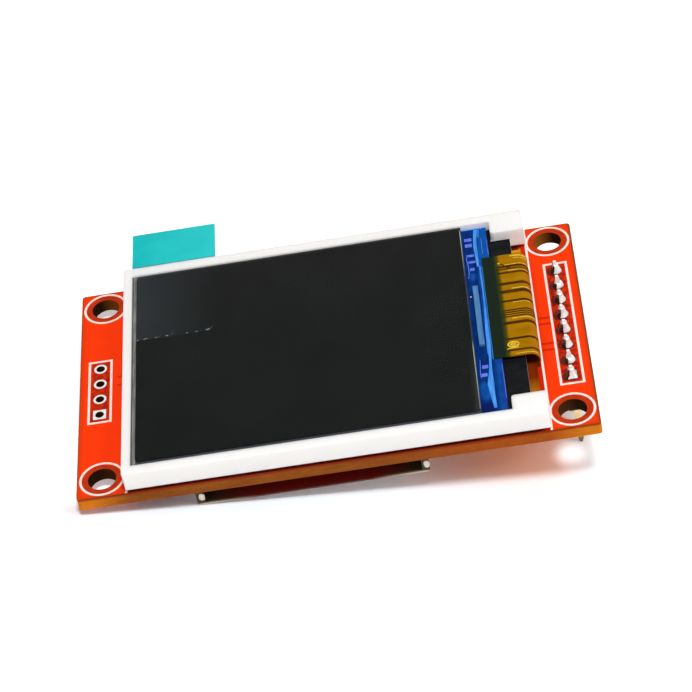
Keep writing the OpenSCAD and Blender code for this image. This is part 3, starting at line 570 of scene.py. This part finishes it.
def make_flex_finish():
    """Amber cover film over copper, dark where the film lies over the glass."""
    amber, deep = (0.4, 0.185, 0.0012), (0.31, 0.135, 0.0008)
    on_glass, olive = (0.0095, 0.0185, 0.011), (0.07, 0.062, 0.001)
    finish = Finish("flex_amber", amber, 0.4, specular=0.02)
    tree = finish.tree
    x, y = finish.axis("X"), finish.axis("Y")
    cloud = finish.streaks(260, 900, 260)
    film = fade(tree, cloud, 0.35, 0.65, amber, deep)
    film = fade(tree, x, BEND_X + mm(0.3), BEND_X + mm(1.0), film, (0.5, 0.165, 0.002))
    wander = times(tree, calc(tree, "SUBTRACT", cloud, 0.5), mm(0.25))
    past = calc(tree, "ADD", x, wander)
    dark = fade(tree, past, mm(19.7), mm(20.2), on_glass, olive)
    upper = fade(tree, past, mm(20.15), mm(20.45), dark, film)

    # The layer under the bend is in its own shade near the bend, and redder over the board
    painted_shade_near = span(tree, calc(tree, "ABSOLUTE", y), mm(13.4), mm(8.5))
    lower = blend(tree, painted_shade_near, (0.66, 0.27, 0.01), (0.19, 0.022, 0.001))
    finish.paint(blend(tree, low_layer(finish), upper, lower))
    finish.bump(cloud, 0.12, mm(0.01))
    return finish.material


def make_flex_line_finish():
    """Copper lines seen through the amber film."""
    finish = Finish("flex_lines", (0.09, 0.032, 0.001), 0.45, specular=0.04)
    tree = finish.tree
    streaks = finish.streaks(200, 1500, 200)
    color = fade(tree, streaks, 0.35, 0.65, (0.04, 0.013, 0.001), (0.085, 0.03, 0.001))
    past = span(tree, finish.axis("X"), mm(20.2), mm(20.9))
    shown = calc(tree, "MAXIMUM", past, low_layer(finish))
    finish.paint(blend(tree, shown, (0.022, 0.024, 0.004), color))
    return finish.material


def make_glint_finish():
    """Painted highlight: pale yellow copper, as if catching the light through the film."""
    finish = Finish("flex_glint", (0.85, 0.55, 0.05), 0.35, specular=0.1)
    tree = finish.tree
    patchy = finish.cloud(2500.0, 2.0)
    finish.paint(fade(tree, patchy, 0.3, 0.7, (0.95, 0.66, 0.07), (0.62, 0.36, 0.02)))
    return finish.material


def make_film_finish():
    """Clear cling film, with a faint haze."""
    finish = Finish("cling_film", (0.5, 0.54, 0.55), 0.3, specular=0.05, alpha=0.006)
    haze = finish.cloud(160.0)
    finish.set("Alpha", span(finish.tree, haze, 0.3, 0.7, 0.003, 0.009))
    return finish.material


def make_tab_finish():
    """Teal past the display's edge, and clear where the tab is stuck to the screen."""
    teal, shade = (0.014, 0.56, 0.575), (0.007, 0.475, 0.5)
    finish = Finish("tab_teal", teal, 0.4, specular=0.06)
    tree = finish.tree
    x, y = finish.axis("X"), finish.axis("Y")
    cloud = finish.streaks(300, 420, 1, 4.0)
    color = fade(tree, cloud, 0.3, 0.7, teal, shade)
    color = blend(tree, span(tree, x, tab_low.x, tab_high.x, 0.0, 0.6), color, (0.035, 0.63, 0.64))
    printed = span(tree, y, display_high.y - mm(0.05), display_high.y + mm(0.02))
    finish.paint(blend(tree, printed, (0.4, 0.52, 0.62), color))
    clear = span(tree, x, tab_low.x, tab_high.x - mm(1.0), 0.026, 0.003)
    finish.set("Alpha", calc(tree, "MAXIMUM", clear, printed))
    finish.bump(cloud, 0.1, mm(0.02))
    return finish.material


def make_bubble_finish():
    """Air caught under the tab, which looks white."""
    finish = Finish("caught_air", (0.3, 0.34, 0.33), 0.4, specular=0.1, alpha=0.8)
    patchy = finish.cloud(6000.0, 2.0)
    finish.paint(fade(finish.tree, patchy, 0.35, 0.65, (0.05, 0.06, 0.06), (0.42, 0.46, 0.45)))
    return finish.material


def make_shield_finish():
    """Black adhesive tape with a fine weave of creases."""
    finish = Finish("shield_black", (0.007, 0.0072, 0.0085), 0.55, specular=0.05)
    creases = finish.streaks(500, 1800, 500)
    low, high = (0.0028, 0.0036, 0.0046), (0.0085, 0.0095, 0.011)
    finish.paint(fade(finish.tree, creases, 0.3, 0.7, low, high))
    finish.bump(creases, 0.2, mm(0.01))
    return finish.material


def make_foam_finish():
    finish = Finish("tape_foam", (0.012, 0.012, 0.012), 0.95, specular=0.1)
    cells = place(finish.tree, "ShaderNodeTexVoronoi", {"Vector": finish.position, "Scale": 6000.0})
    finish.bump(cells.outputs["Distance"], 0.6, mm(0.05))
    finish.paint(blend(finish.tree, cells.outputs["Distance"], (0.004,) * 3, (0.02,) * 3))
    return finish.material


def make_shell_finish():
    """Rolled and plated sheet steel, brushed along the socket. At its mouth and on its inner floor it is
    dull, with painted shade, a painted red reflection of the board and a painted highlight on the mouth's
    lower lip.
    """
    finish = Finish("shell_plated", (0.7, 0.69, 0.66), 0.35, metallic=1.0, specular=0.5)
    tree = finish.tree
    x, z = finish.axis("X"), finish.axis("Z")
    brushed = finish.streaks(2400, 120, 2400)
    plated = fade(tree, brushed, 0.3, 0.7, (0.74, 0.73, 0.7), (0.62, 0.61, 0.585))
    middle = (shell_low.x + shell_high.x) / 2
    away = calc(tree, "ABSOLUTE", calc(tree, "SUBTRACT", x, middle))
    ends = span(tree, away, mm(6.5), mm(11.5))
    # Painted shade on the inner floor, with a painted red reflection of the board in its middle
    inside = blend(tree, ends, (0.3, 0.008, 0.002), (0.055, 0.038, 0.012))
    # Painted highlight along the mouth's lower lip near its ends, and painted shade over the rest of the
    # mouth
    lit_lip = times(tree, span(tree, z, shell_low.z + mm(0.25), shell_low.z + mm(0.15)), ends)
    edge = blend(tree, ends, (0.1, 0.01, 0.004), (0.05, 0.034, 0.014))
    rim = blend(tree, lit_lip, edge, (0.6, 0.52, 0.38))
    mouth = span(tree, finish.axis("Y"), shell_low.y + mm(0.3), shell_low.y + mm(0.12))
    low = span(tree, z, shell_low.z + mm(1.2), shell_low.z + mm(0.8))
    floor = times(tree, span(tree, finish.facing("Z"), 0.5, 0.7), low)
    color = blend(tree, floor, plated, inside)
    finish.paint(blend(tree, mouth, color, rim))
    painted_dull = calc(tree, "MAXIMUM", mouth, floor)
    satin = span(tree, brushed, 0.3, 0.7, 0.3, 0.4)
    finish.set("Roughness", calc(tree, "MAXIMUM", satin, times(tree, painted_dull, 0.75)))
    finish.set("Metallic", span(tree, painted_dull, 0, 1, 1.0, 0.0))
    finish.bump(brushed, 0.05, mm(0.004))
    return finish.material


def make_sheet_finish(name, color, roughness, alpha):
    """One of the light sheets inside the display."""
    finish = Finish(name, color, roughness, specular=0.3, alpha=alpha)
    finish.grain(0.15, mm(0.05), mm(2.0))
    return finish.material


board_mask = make_board_finish()
printed_ink = make_coat_finish("printed_ink", INK_WHITE, (0.92, 0.76, 0.68), 0.7, 0.05, mm(0.06), mm(0.4))
bright_tin = make_metal_finish("bright_tin", TIN, 0.28)
solder_joint = make_solder_finish()
# Painted shadow: dark crescents on the board beside the solder joints
joint_shadow_paint = make_coat_finish("joint_shadow_paint", PAINTED_SHADE_DARK, (0.075, 0.008, 0.003), 0.35, 0.15, mm(0.12), mm(0.35))
moulded_black = make_moulded_finish("header_black", (0.012, 0.012, 0.0125), 0.5)
caught_air = make_bubble_finish()
# Painted highlight: pale cream, barely metal, for the curled wall ends in the socket's mouth
wall_end = make_metal_finish("wall_end_highlight", (0.93, 0.86, 0.72), 0.4, 0.15, mm(0.2), 0.2, 0.2)
wiring_sky = make_wiring_finish("wiring_sky", (0.085, 0.36, 0.9), (0.04, 0.22, 0.74))
wiring_lilac = make_wiring_finish("wiring_lilac", (0.15, 0.225, 0.95), (0.08, 0.145, 0.74))
flex_lines = make_flex_line_finish()
flex_glint = make_glint_finish()

give(board_mask, "circuit_board")
give(printed_ink, "front_ink", "back_ink")
give(make_pad_finish(), "header_pads")
give(bright_tin, "side_pads", "flex_pads", "chip_pads", "regulator_leads", "chip_terminals")
give(make_metal_finish("solder_metal", (0.94, 0.93, 0.92), 0.38, 0.08, mm(0.18), 0.2, 0.35),
     "header_solder", "flex_solder")
give(moulded_black, "header_housing")
give(make_moulded_finish("socket_black", (0.011, 0.011, 0.011), 0.55, strength=0.35), "socket_base")
give(make_moulded_finish("regulator_black", (0.01, 0.01, 0.0105), 0.6, strength=0.5), "regulator_body")
give(make_moulded_finish("capacitor_ceramic", (0.36, 0.22, 0.11), 0.6, shade=0.8), "capacitor_bodies")
give(make_moulded_finish("resistor_glaze", (0.008, 0.008, 0.009), 0.3, shade=0.7), "resistor_bodies")
give(make_pin_finish(), "header_pins")
give(make_metal_finish("contact_gold", GOLD, 0.25), "card_contacts", "card_switches")
give(make_shell_finish(), "socket_shell")
give(make_foam_finish(), "mounting_tape")
give(make_frame_finish(), "display_frame")
give(make_screen_finish(), "front_polarizer")
give(make_border_finish(), "upper_glass")
give(make_ledge_finish(), "lower_glass")
give(make_chip_finish(), "driver_chip")
give(make_flex_finish(), "flex_circuit")
give(make_film_finish(), "protective_film")
give(make_tab_finish(), "pull_tab")
give(make_shield_finish(), "shield_tape")
give(make_sheet_finish("reflector_white", (0.85, 0.86, 0.87), 0.35, 1.0), "reflector_sheet")
give(make_sheet_finish("guide_clear", (0.8, 0.86, 0.88), 0.12, 0.6), "light_guide")
give(make_sheet_finish("film_frosted", (0.82, 0.84, 0.86), 0.6, 0.7), "diffuser_sheet", "lower_prism_sheet",
     "upper_prism_sheet")
give(make_sheet_finish("lamp_case", (0.9, 0.8, 0.35), 0.4, 1.0), "backlight_lamps")
give(make_sheet_finish("rear_polarizer_dark", (0.02, 0.022, 0.025), 0.3, 1.0), "rear_polarizer")
give(make_sheet_finish("lamp_strip_amber", (0.5, 0.26, 0.02), 0.4, 1.0), "lamp_strip")


# ---- Pieces ----


def new_piece(name, points, faces, material, smooth=False):
    """A mesh piece in the CAD's own frame, riding on the part."""
    mesh = bpy.data.meshes.new(name)
    mesh.from_pydata([tuple(p) for p in points], [], faces)
    mesh.validate()
    mesh.update()
    mesh.materials.append(material)
    if smooth:
        mesh.shade_smooth()
    piece = bpy.data.objects.new(name, mesh)
    bpy.context.collection.objects.link(piece)
    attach(piece, "root")
    return piece


def turned(share, start=0.0):
    """A unit vector after a share of a whole turn about the vertical axis."""
    angle = start + 2 * math.pi * share
    return Vector((math.cos(angle), math.sin(angle), 0))


class Mesh:
    """Points and faces gathered from several shapes."""

    def __init__(self):
        self.points = []
        self.faces = []

    def loft(self, rows, capped=True):
        """Rings of points, each joined to the next. capped closes the first and the last."""
        first, around = len(self.points), len(rows[0])
        self.points += [Vector(point) for row in rows for point in row]
        for r in range(len(rows) - 1):
            low = first + r * around
            for k in range(around):
                n = (k + 1) % around
                self.faces.append([low + k, low + n, low + around + n, low + around + k])
        if capped:
            last = first + (len(rows) - 1) * around
            self.faces.append([first + k for k in reversed(range(around))])
            self.faces.append([last + k for k in range(around)])

    def prism(self, outline, z0, z1, inset=0.0):
        """An outline of x, y points from z0 to z1, drawn in towards its middle at z1 by inset."""
        middle = sum((Vector(point) for point in outline), Vector((0, 0))) / len(outline)
        drawn = []
        for point in outline:
            away = Vector(point) - middle
            drawn.append(middle + away * max(0.0, away.length - inset) / away.length)
        self.loft([[(*point, z0) for point in outline], [(*point, z1) for point in drawn]])

    def bar(self, x0, x1, y0, y1, z0, z1):
        self.prism([(x0, y0), (x1, y0), (x1, y1), (x0, y1)], z0, z1)

    def ribbon(self, left, right, z0, z1, capped=True):
        """A flat strip between two edges of x, y points that run the same way."""
        self.loft([[(*b, z0), (*a, z0), (*a, z1), (*b, z1)] for a, b in zip(left, right)], capped)

    def band(self, path, width, z0, z1):
        """A flat line of one width along a path of x, y points, mitred at its corners."""
        path = [Vector(point) for point in path]
        left, right = [], []
        for i, point in enumerate(path):
            before = (point - path[i - 1]).normalized() if i else None
            after = (path[i + 1] - point).normalized() if i < len(path) - 1 else None
            into, out = before or after, after or before
            way = (into + out).normalized()
            side = Vector((-way.y, way.x)) * (width / 2 / max(0.4, way.dot(out)))
            left.append(point + side)
            right.append(point - side)
        self.ribbon(left, right, z0, z1)

    def piece(self, name, material, slot, smooth=False):
        return new_piece(name, self.points, self.faces, material, smooth)


def flex_side(x_start, lift, steps=18):
    """Side view of the flex circuit's outer face as x, z points with their outward normals, from
    x_start on the glass round the bend to its lowest point. lift raises the line off the face."""
    side = [(Vector((x_start, 0, BEND_Z + BEND_R)), Vector((0, 0, 1)))]
    for i in range(steps + 1):
        angle = math.pi * i / steps
        way = Vector((math.sin(angle), 0, math.cos(angle)))
        side.append((Vector((BEND_X, 0, BEND_Z)) + way * BEND_R, way))
    return [(point + way * lift, way) for point, way in side]


def add_flex_line(mesh, y, width, x_start, lift=mm(0.012), stop=1.0):
    """A line over the bend, at y, of the given width. stop is the share of the bend it covers."""
    side = flex_side(x_start, lift)
    rows = []
    for point, way in side[: max(2, int(round(len(side) * stop)))]:
        foot = point - way * lift
        corners = ((foot, -width / 2), (foot, width / 2), (point, width / 2), (point, -width / 2))
        rows.append([corner + Vector((0, y + offset, 0)) for corner, offset in corners])
    mesh.loft(rows)


def make_flex_lines():
    """The copper lines that show on the bend, as y and width in millimetres."""
    lines = [
        (8.22, 0.26), (7.8, 0.16), (7.14, 0.24), (5.25, 0.34), (3.87, 0.42), (2.25, 0.27),
        (0.68, 0.17), (0.33, 0.16), (-0.02, 0.15), (-0.38, 0.15), (-1.45, 0.38), (-4.1, 0.28),
        (-6.00, 0.24),
    ]
    mesh = Mesh()
    for y, width in lines:
        add_flex_line(mesh, mm(y), mm(width * 1.25), mm(19.9))
    top = BEND_Z + BEND_R
    hook = in_metres([(20.35, 8.75), (20.7, 8.6), (20.95, 8.3), (21.2, 8.0), (21.6, 7.86)])
    mesh.band(hook, mm(0.15), top, top + mm(0.013))
    mesh.piece("flex_copper_lines", flex_lines, "flex")
    # Painted highlights: pale lines, bands and loops over the bend, as glints on the copper
    glint = Mesh()
    for y, width, start, stop in (
        (9.95, 0.22, 21.6, 0.7), (9.55, 0.1, 22.0, 0.7), (8.52, 0.1, 20.9, 0.5), (7.46, 0.08, 21.2, 0.4),
        (4.34, 0.13, 21.4, 0.45), (1.95, 0.07, 21.3, 0.35), (-0.72, 0.12, 21.0, 0.45),
        (-6.6, 0.1, 20.9, 0.35),
    ):
        add_flex_line(glint, mm(y), mm(width), mm(start), stop=stop)
    glint.band(in_metres([(20.15, 8.95), (20.4, 8.85)]), mm(0.2), top, top + mm(0.013))
    for long, wide in ((0.6, 0.42), (0.288, 0.16)):
        ways = [turned(k / 15) for k in range(16)]
        loop = in_metres([(20.75 + long * way.x, -5.02 + wide * way.y) for way in ways])
        glint.band(loop, mm(0.17), top, top + mm(0.012))
    glint.band(in_metres([(20.0, -5.75), (20.3, -5.62), (21.3, -5.55)]), mm(0.14), top, top + mm(0.012))
    glint.piece("flex_painted_glints", flex_glint, "flex")


make_flex_lines()


def make_ledge_wiring():
    """Wiring on the glass ledge. Blocks are x0, x1, y0, y1 and lines are paths, in millimetres."""
    low = lower_glass_high.z
    high = low + mm(0.008)

    sky = Mesh()
    # The bright band's outer and inner edge as x, at each y, in two stretches
    for stretch in (
        ((15.6, 17.86, 18.3), (14.0, 17.71, 18.06), (12.4, 17.64, 18.02), (11.4, 17.7, 18.05),
         (9.1, 17.79, 18.06)),
        ((9.1, 18.02, 18.18), (5.0, 18.06, 18.22), (2.0, 18.02, 18.22), (-1.9, 17.84, 18.24),
         (-3.7, 17.82, 18.24), (-5.5, 17.76, 18.18), (-6.4, 17.87, 18.13), (-8.2, 17.78, 18.07),
         (-9.6, 17.54, 18.07), (-10.7, 17.38, 18.12), (-12.5, 17.55, 18.06), (-14.6, 17.8, 18.13)),
    ):
        inner = in_metres([(x0, y) for y, x0, x1 in stretch])
        outer = in_metres([(x1, y) for y, x0, x1 in stretch])
        sky.ribbon(outer, inner, low, high)
    for path, width in (
        ([(16.46, 15.76), (19.28, 15.76)], 0.15),
        ([(18.43, 15.55), (18.3, 14.25)], 0.11),
        ([(18.62, 14.0), (18.6, 11.2)], 0.05),
        ([(18.35, 8.9), (18.36, 2.0), (18.35, -2.0), (18.34, -6.9)], 0.06),
    ):
        sky.band(in_metres(path), mm(width), low, high)
    sky.piece("ledge_wiring_bus", wiring_sky, "lower_glass")

    lilac = Mesh()
    for block in (
        (16.68, 17.52, 13.72, 14.23), (16.68, 17.49, 12.68, 13.24), (16.71, 17.62, 10.93, 11.33),
        (16.83, 17.68, 9.8, 10.2), (16.96, 17.48, 8.47, 8.97), (16.98, 17.67, -8.16, -7.62),
        (16.83, 17.5, -9.45, -8.92),
    ):
        lilac.bar(*map(mm, block), low, high)
    for path, width in (
        ([(16.68, 10.9), (16.7, 10.2), (16.8, 9.5), (16.82, 8.2), (16.68, 7.2)], 0.09),
        ([(16.86, -6.7), (16.74, -8.6), (16.76, -9.6)], 0.08),
        ([(19.18, -7.8), (19.22, -9.0), (19.25, -11.1), (19.24, -13.3)], 0.06),
        ([(19.22, 13.6), (19.25, 10.8)], 0.06),
    ):
        lilac.band(in_metres(path), mm(width), low, high)
    lilac.piece("ledge_wiring_blocks", wiring_lilac, "lower_glass")

    dot = Mesh()
    middle = Vector((mm(16.68), mm(4.04), 0))
    dot.loft([[middle + turned(k / 12) * mm(radius) + Vector((0, 0, z)) for k in range(12)]
              for radius, z in ((0.09, low), (0.07, low + mm(0.012)))])
    dot.piece("ledge_mark", printed_ink, "lower_glass")


make_ledge_wiring()


def make_screen_edge():
    """Cut edge of the front polarizer along the ledge, with painted highlights near its two ends."""
    low, high = polarizer_low, polarizer_high
    finish = Finish("cut_edge", (0.34, 0.38, 0.38), 0.4, specular=0.1)
    tree = finish.tree
    y = finish.axis("Y")
    cloud = finish.streaks(1, 900, 1, 2.0)
    back = span(tree, y, mm(6.5), mm(13.0))
    front = times(tree, span(tree, y, mm(-4.0), mm(-5.2)), span(tree, y, mm(-15.0), mm(-9.0), 0.35, 1.0))
    lit = times(tree, any_of(tree, [back, front]), span(tree, cloud, 0.3, 0.55, 0.7, 1.0))
    finish.paint(blend(tree, lit, (0.02, 0.04, 0.075), (0.36, 0.4, 0.39)))
    mesh = Mesh()
    mesh.bar(high.x, high.x + mm(0.1), low.y + mm(0.3), high.y - mm(0.3), low.z, high.z - mm(0.02))
    mesh.piece("polarizer_cut_edge", finish.material, "polarizer")


make_screen_edge()


def make_bubbles():
    """Air under the stuck end of the tab: thin uneven blots along its inner edge."""
    spots = [
        (-21.63, 4.32, 0.09, 0.1), (-21.35, 4.42, 0.05, 0.04), (-20.79, 4.36, 0.22, 0.08),
        (-20.35, 4.3, 0.05, 0.04), (-19.45, 4.34, 0.17, 0.08), (-19.1, 4.44, 0.05, 0.04),
        (-18.21, 4.36, 0.12, 0.08), (-17.55, 5.08, 0.07, 0.06), (-17.62, 4.6, 0.04, 0.1),
        (-15.84, 4.33, 0.12, 0.07), (-14.79, 4.32, 0.16, 0.06), (-14.3, 4.4, 0.05, 0.04),
        (-13.48, 4.38, 0.26, 0.1), (-13.1, 4.55, 0.07, 0.1), (-12.94, 4.83, 0.06, 0.07),
        (-16.6, 4.3, 0.04, 0.04),
    ]
    random.seed(11)
    mesh = Mesh()
    base = tab_high.z
    for x, y, long, wide in spots:
        outline = []
        for k in range(18):
            way = turned(k / 18) * (1 + 0.7 * (random.random() - 0.5))
            outline.append((x + long * way.x, y + wide * way.y))
        mesh.prism(in_metres(outline), base, base + mm(0.01), mm(0.03))
    mesh.piece("tab_air_blots", caught_air, "tab_film")


make_bubbles()


def add_joint(mesh, middle, foot, height, hollow, squareness, seed):
    """Solder that narrows from its foot to the pin. hollow bends its side, and squareness gives
    its foot the corners of a square."""
    turns, steps, pin_reach = 36, 12, 0.355
    rows = []
    for step in range(steps + 1):
        fall = 1 - step / steps
        radius = pin_reach + (foot - pin_reach) * fall ** hollow
        row = []
        for k in range(turns):
            way = turned(k / turns)
            corner = squareness * (1 / max(abs(way.x), abs(way.y)) - 1) * fall
            uneven = 1 + 0.10 * fall * noise.noise(way * 1.4 + Vector((seed * 7.1, 0, 0)))
            lift = Vector((0, 0, BOARD_FRONT + mm(0.04) + mm(height) * (1 - fall)))
            row.append(middle + lift + way * mm(radius * (1 + corner) * uneven))
        rows.append(row)
    mesh.loft(rows)


def add_crescent(mesh, middle, reach, wide, start, stop):
    """A crescent of painted shadow on the board round a joint, between two angles in degrees."""
    steps = 12
    lean = 8 * (random.random() - 0.5)
    outer, inner = [], []
    for k in range(steps + 1):
        swell = math.sin(math.pi * k / steps) * (0.75 + 0.5 * random.random())
        way = turned(0, math.radians(start + lean + (stop - start) * k / steps))
        outer.append((middle + way * mm(reach + wide / 2 * swell)).to_2d())
        inner.append((middle + way * mm(reach - wide / 2 * swell)).to_2d())
    mesh.ribbon(inner, outer, BOARD_FRONT + mm(0.001), BOARD_FRONT + mm(0.045), capped=False)


def make_solder_joints():
    """Solder on each pin, no two quite alike, with crescents of painted shadow on the board beside it.

    Each joint is given from front to back as its foot, its height, and how hollow its side is."""
    shapes = [(0.66, 1.1, 1.7), (0.68, 0.52, 0.5), (0.7, 1.08, 1.7), (0.68, 1.15, 1.6),
              (0.7, 1.12, 1.8), (0.7, 1.08, 1.6), (0.68, 0.55, 0.55), (0.7, 0.98, 1.3)]
    solder, shadow_marks = Mesh(), Mesh()
    random.seed(5)
    for i, (foot, height, hollow) in enumerate(shapes):
        middle = Vector((MAIN_X, (i - (MAIN_PINS - 1) / 2) * PITCH, 0))
        add_joint(solder, middle, foot, height, hollow, 1.0 if i == 0 else 0.0, i)
        # Painted shadow crescents: away from the board's end, and in front
        for crescent in ((0.86, 0.17, 125, 250), (1.02, 0.07, 150, 235), (0.8, 0.12, 240, 300)):
            add_crescent(shadow_marks, middle, *crescent)
    joints = solder.piece("solder_joints", solder_joint, "solder", smooth=True)
    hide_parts("header_solder")
    shadow_marks.piece("painted_shadow_crescents", joint_shadow_paint, "solder")


make_solder_joints()


def make_shell_ends():
    """Curled ends of the shell's two side walls, in the socket's mouth, coloured pale cream as painted
    highlights.
    """
    mesh = Mesh()

    def softened(part):
        return math.copysign(abs(part) ** 0.75, part)

    for x0, x1, z0, z1, seed in ((-15.98, -15.26, -2.18, -1.12, 1), (9.12, 9.8, -2.2, -1.14, 2)):
        random.seed(seed)
        middle = Vector((mm(x0 + x1) / 2, shell_low.y, mm(z0 + z1) / 2))
        outline = []
        for k in range(20):
            way = turned(k / 20)
            reach = (1 + 0.16 * (random.random() - 0.5)) / 2
            wide, tall = softened(way.x) * mm(x1 - x0), softened(way.y) * mm(z1 - z0)
            outline.append(Vector((wide, 0, tall)) * reach)
        mesh.loft([[middle + point * scale - Vector((0, mm(out), 0)) for point in outline]
                   for out, scale in ((0.0, 1.0), (0.05, 0.92), (0.08, 0.6))])
    mesh.piece("shell_wall_ends", wall_end, "shell_steel", smooth=True)


make_shell_ends()


# ---- Light, floor and camera ----

CAMERA_AIM = Vector((mm(1.85), mm(1.49), mm(1.6)))
CAMERA_DISTANCE = mm(331.6)
CAMERA_AZIMUTH = 5.564
CAMERA_ELEVATION = 41.649
CAMERA_ROLL = -12.309
CAMERA_LENS = 151.96


def make_camera():
    camera = bpy.data.objects.new("camera", bpy.data.cameras.new("camera"))
    bpy.context.collection.objects.link(camera)
    turn = (Matrix.Rotation(math.radians(CAMERA_AZIMUTH), 4, "Z")
            @ Matrix.Rotation(math.radians(90 - CAMERA_ELEVATION), 4, "X")
            @ Matrix.Rotation(math.radians(CAMERA_ROLL), 4, "Z"))
    back = turn.to_3x3() @ Vector((0, 0, 1))
    camera.matrix_world = Matrix.Translation(CAMERA_AIM + back * CAMERA_DISTANCE) @ turn
    camera.data.lens = CAMERA_LENS
    camera.data.sensor_width = 36
    camera.data.clip_start = 0.01
    camera.data.clip_end = 20
    bpy.context.scene.camera = camera


def background_rays(tree):
    """1 for rays that should see the plain background: camera, glossy and transmission rays."""
    rays = place(tree, "ShaderNodeLightPath").outputs
    return any_of(tree, [rays["Is Camera Ray"], rays["Is Glossy Ray"], rays["Is Transmission Ray"]])


WORLD_LIGHT = 0.38
WORLD_TINT = (1.0, 0.69, 0.46)
KEY_TINT = (0.8, 0.92, 1.0)
FLOOR_COLOR = (1.0, 1.0, 1.0)
FLOOR_GLOW = (0.05, 0.05, 0.07)
BOARD_GLOW = (0.24, 0.045, 0.0)
END_GLOW = (0.3, 0.36, 0.38)


def make_world():
    world = bpy.data.worlds.new("studio")
    world.use_nodes = True
    tree = world.node_tree
    tree.nodes.clear()
    plain = background_rays(tree)
    strength = span(tree, plain, 0, 1, WORLD_LIGHT, 1.0)
    tint = blend(tree, plain, WORLD_TINT, (1, 1, 1))
    shade = place(tree, "ShaderNodeBackground", {"Color": tint, "Strength": strength})
    out = place(tree, "ShaderNodeOutputWorld")
    tree.links.new(shade.outputs[0], out.inputs["Surface"])
    bpy.context.scene.world = world


def make_floor():
    """The surface that the module leans on, from the socket's far edge to the pins' tips."""
    rest_low = Vector((base_low.x, 0, shell_low.z))
    rest_high = Vector((header_low.x + mm(0.16), 0, header_low.z))
    slope = math.atan2(rest_high.z - rest_low.z, rest_high.x - rest_low.x)
    half = 3.0
    mesh = bpy.data.meshes.new("floor")
    corners = [(-half, -half, 0), (half, -half, 0), (half, half, 0), (-half, half, 0)]
    mesh.from_pydata(corners, [], [(0, 1, 2, 3)])
    floor = bpy.data.objects.new("floor", mesh)
    floor.location = rest_low
    floor.rotation_euler = (0, -slope, 0)
    bpy.context.collection.objects.link(floor)
    material = bpy.data.materials.new("floor_white")
    material.use_nodes = True
    tree = material.node_tree
    tree.nodes.clear()
    diffuse = place(tree, "ShaderNodeBsdfDiffuse", {"Color": (*FLOOR_COLOR, 1.0)})
    # Painted light on the floor, seen by camera, glossy and transmission rays: a red glow under the board's
    # bare end, standing in for light through the board, and a plain glow past both its ends and far behind
    # it, that pales the shadow there
    spot = place(tree, "ShaderNodeTexCoord").outputs["Object"]
    x, y = place(tree, "ShaderNodeSeparateXYZ", {0: spot}).outputs[:2]
    tint = fade(tree, x, mm(21), mm(36), FLOOR_GLOW, BOARD_GLOW)
    tint = fade(tree, x, mm(40), mm(44), tint, END_GLOW)
    left = times(tree, span(tree, x, mm(-6), mm(-9)), span(tree, y, mm(-15.5), mm(-13.5)))
    tint = blend(tree, left, tint, END_GLOW)
    tint = fade(tree, y, mm(16), mm(45), tint, END_GLOW)
    glow = place(tree, "ShaderNodeEmission", {"Color": tint, "Strength": background_rays(tree)})
    both = place(tree, "ShaderNodeAddShader", {0: diffuse.outputs[0], 1: glow.outputs[0]})
    out = place(tree, "ShaderNodeOutputMaterial")
    tree.links.new(both.outputs[0], out.inputs["Surface"])
    mesh.materials.append(material)


def make_lamp(name, place_at, aim, size, power, tint):
    light = bpy.data.lights.new(name, "AREA")
    light.shape = "DISK"
    light.color = tint
    light.size = size
    light.energy = power
    lamp = bpy.data.objects.new(name, light)
    lamp.location = place_at
    lamp.rotation_mode = "QUATERNION"
    lamp.rotation_quaternion = (Vector(aim) - Vector(place_at)).to_track_quat("-Z", "Y")
    bpy.context.collection.objects.link(lamp)


make_camera()
make_world()
make_floor()
make_lamp("key_softbox", (0.095, -0.245, 0.625), (0, 0, 0), 0.14, 3.3, KEY_TINT)
make_lamp("side_softbox", (0.44, -0.2, 0.46), (0, 0, 0), 0.3, 1.1, KEY_TINT)
bpy.context.scene.view_settings.view_transform = "Standard"
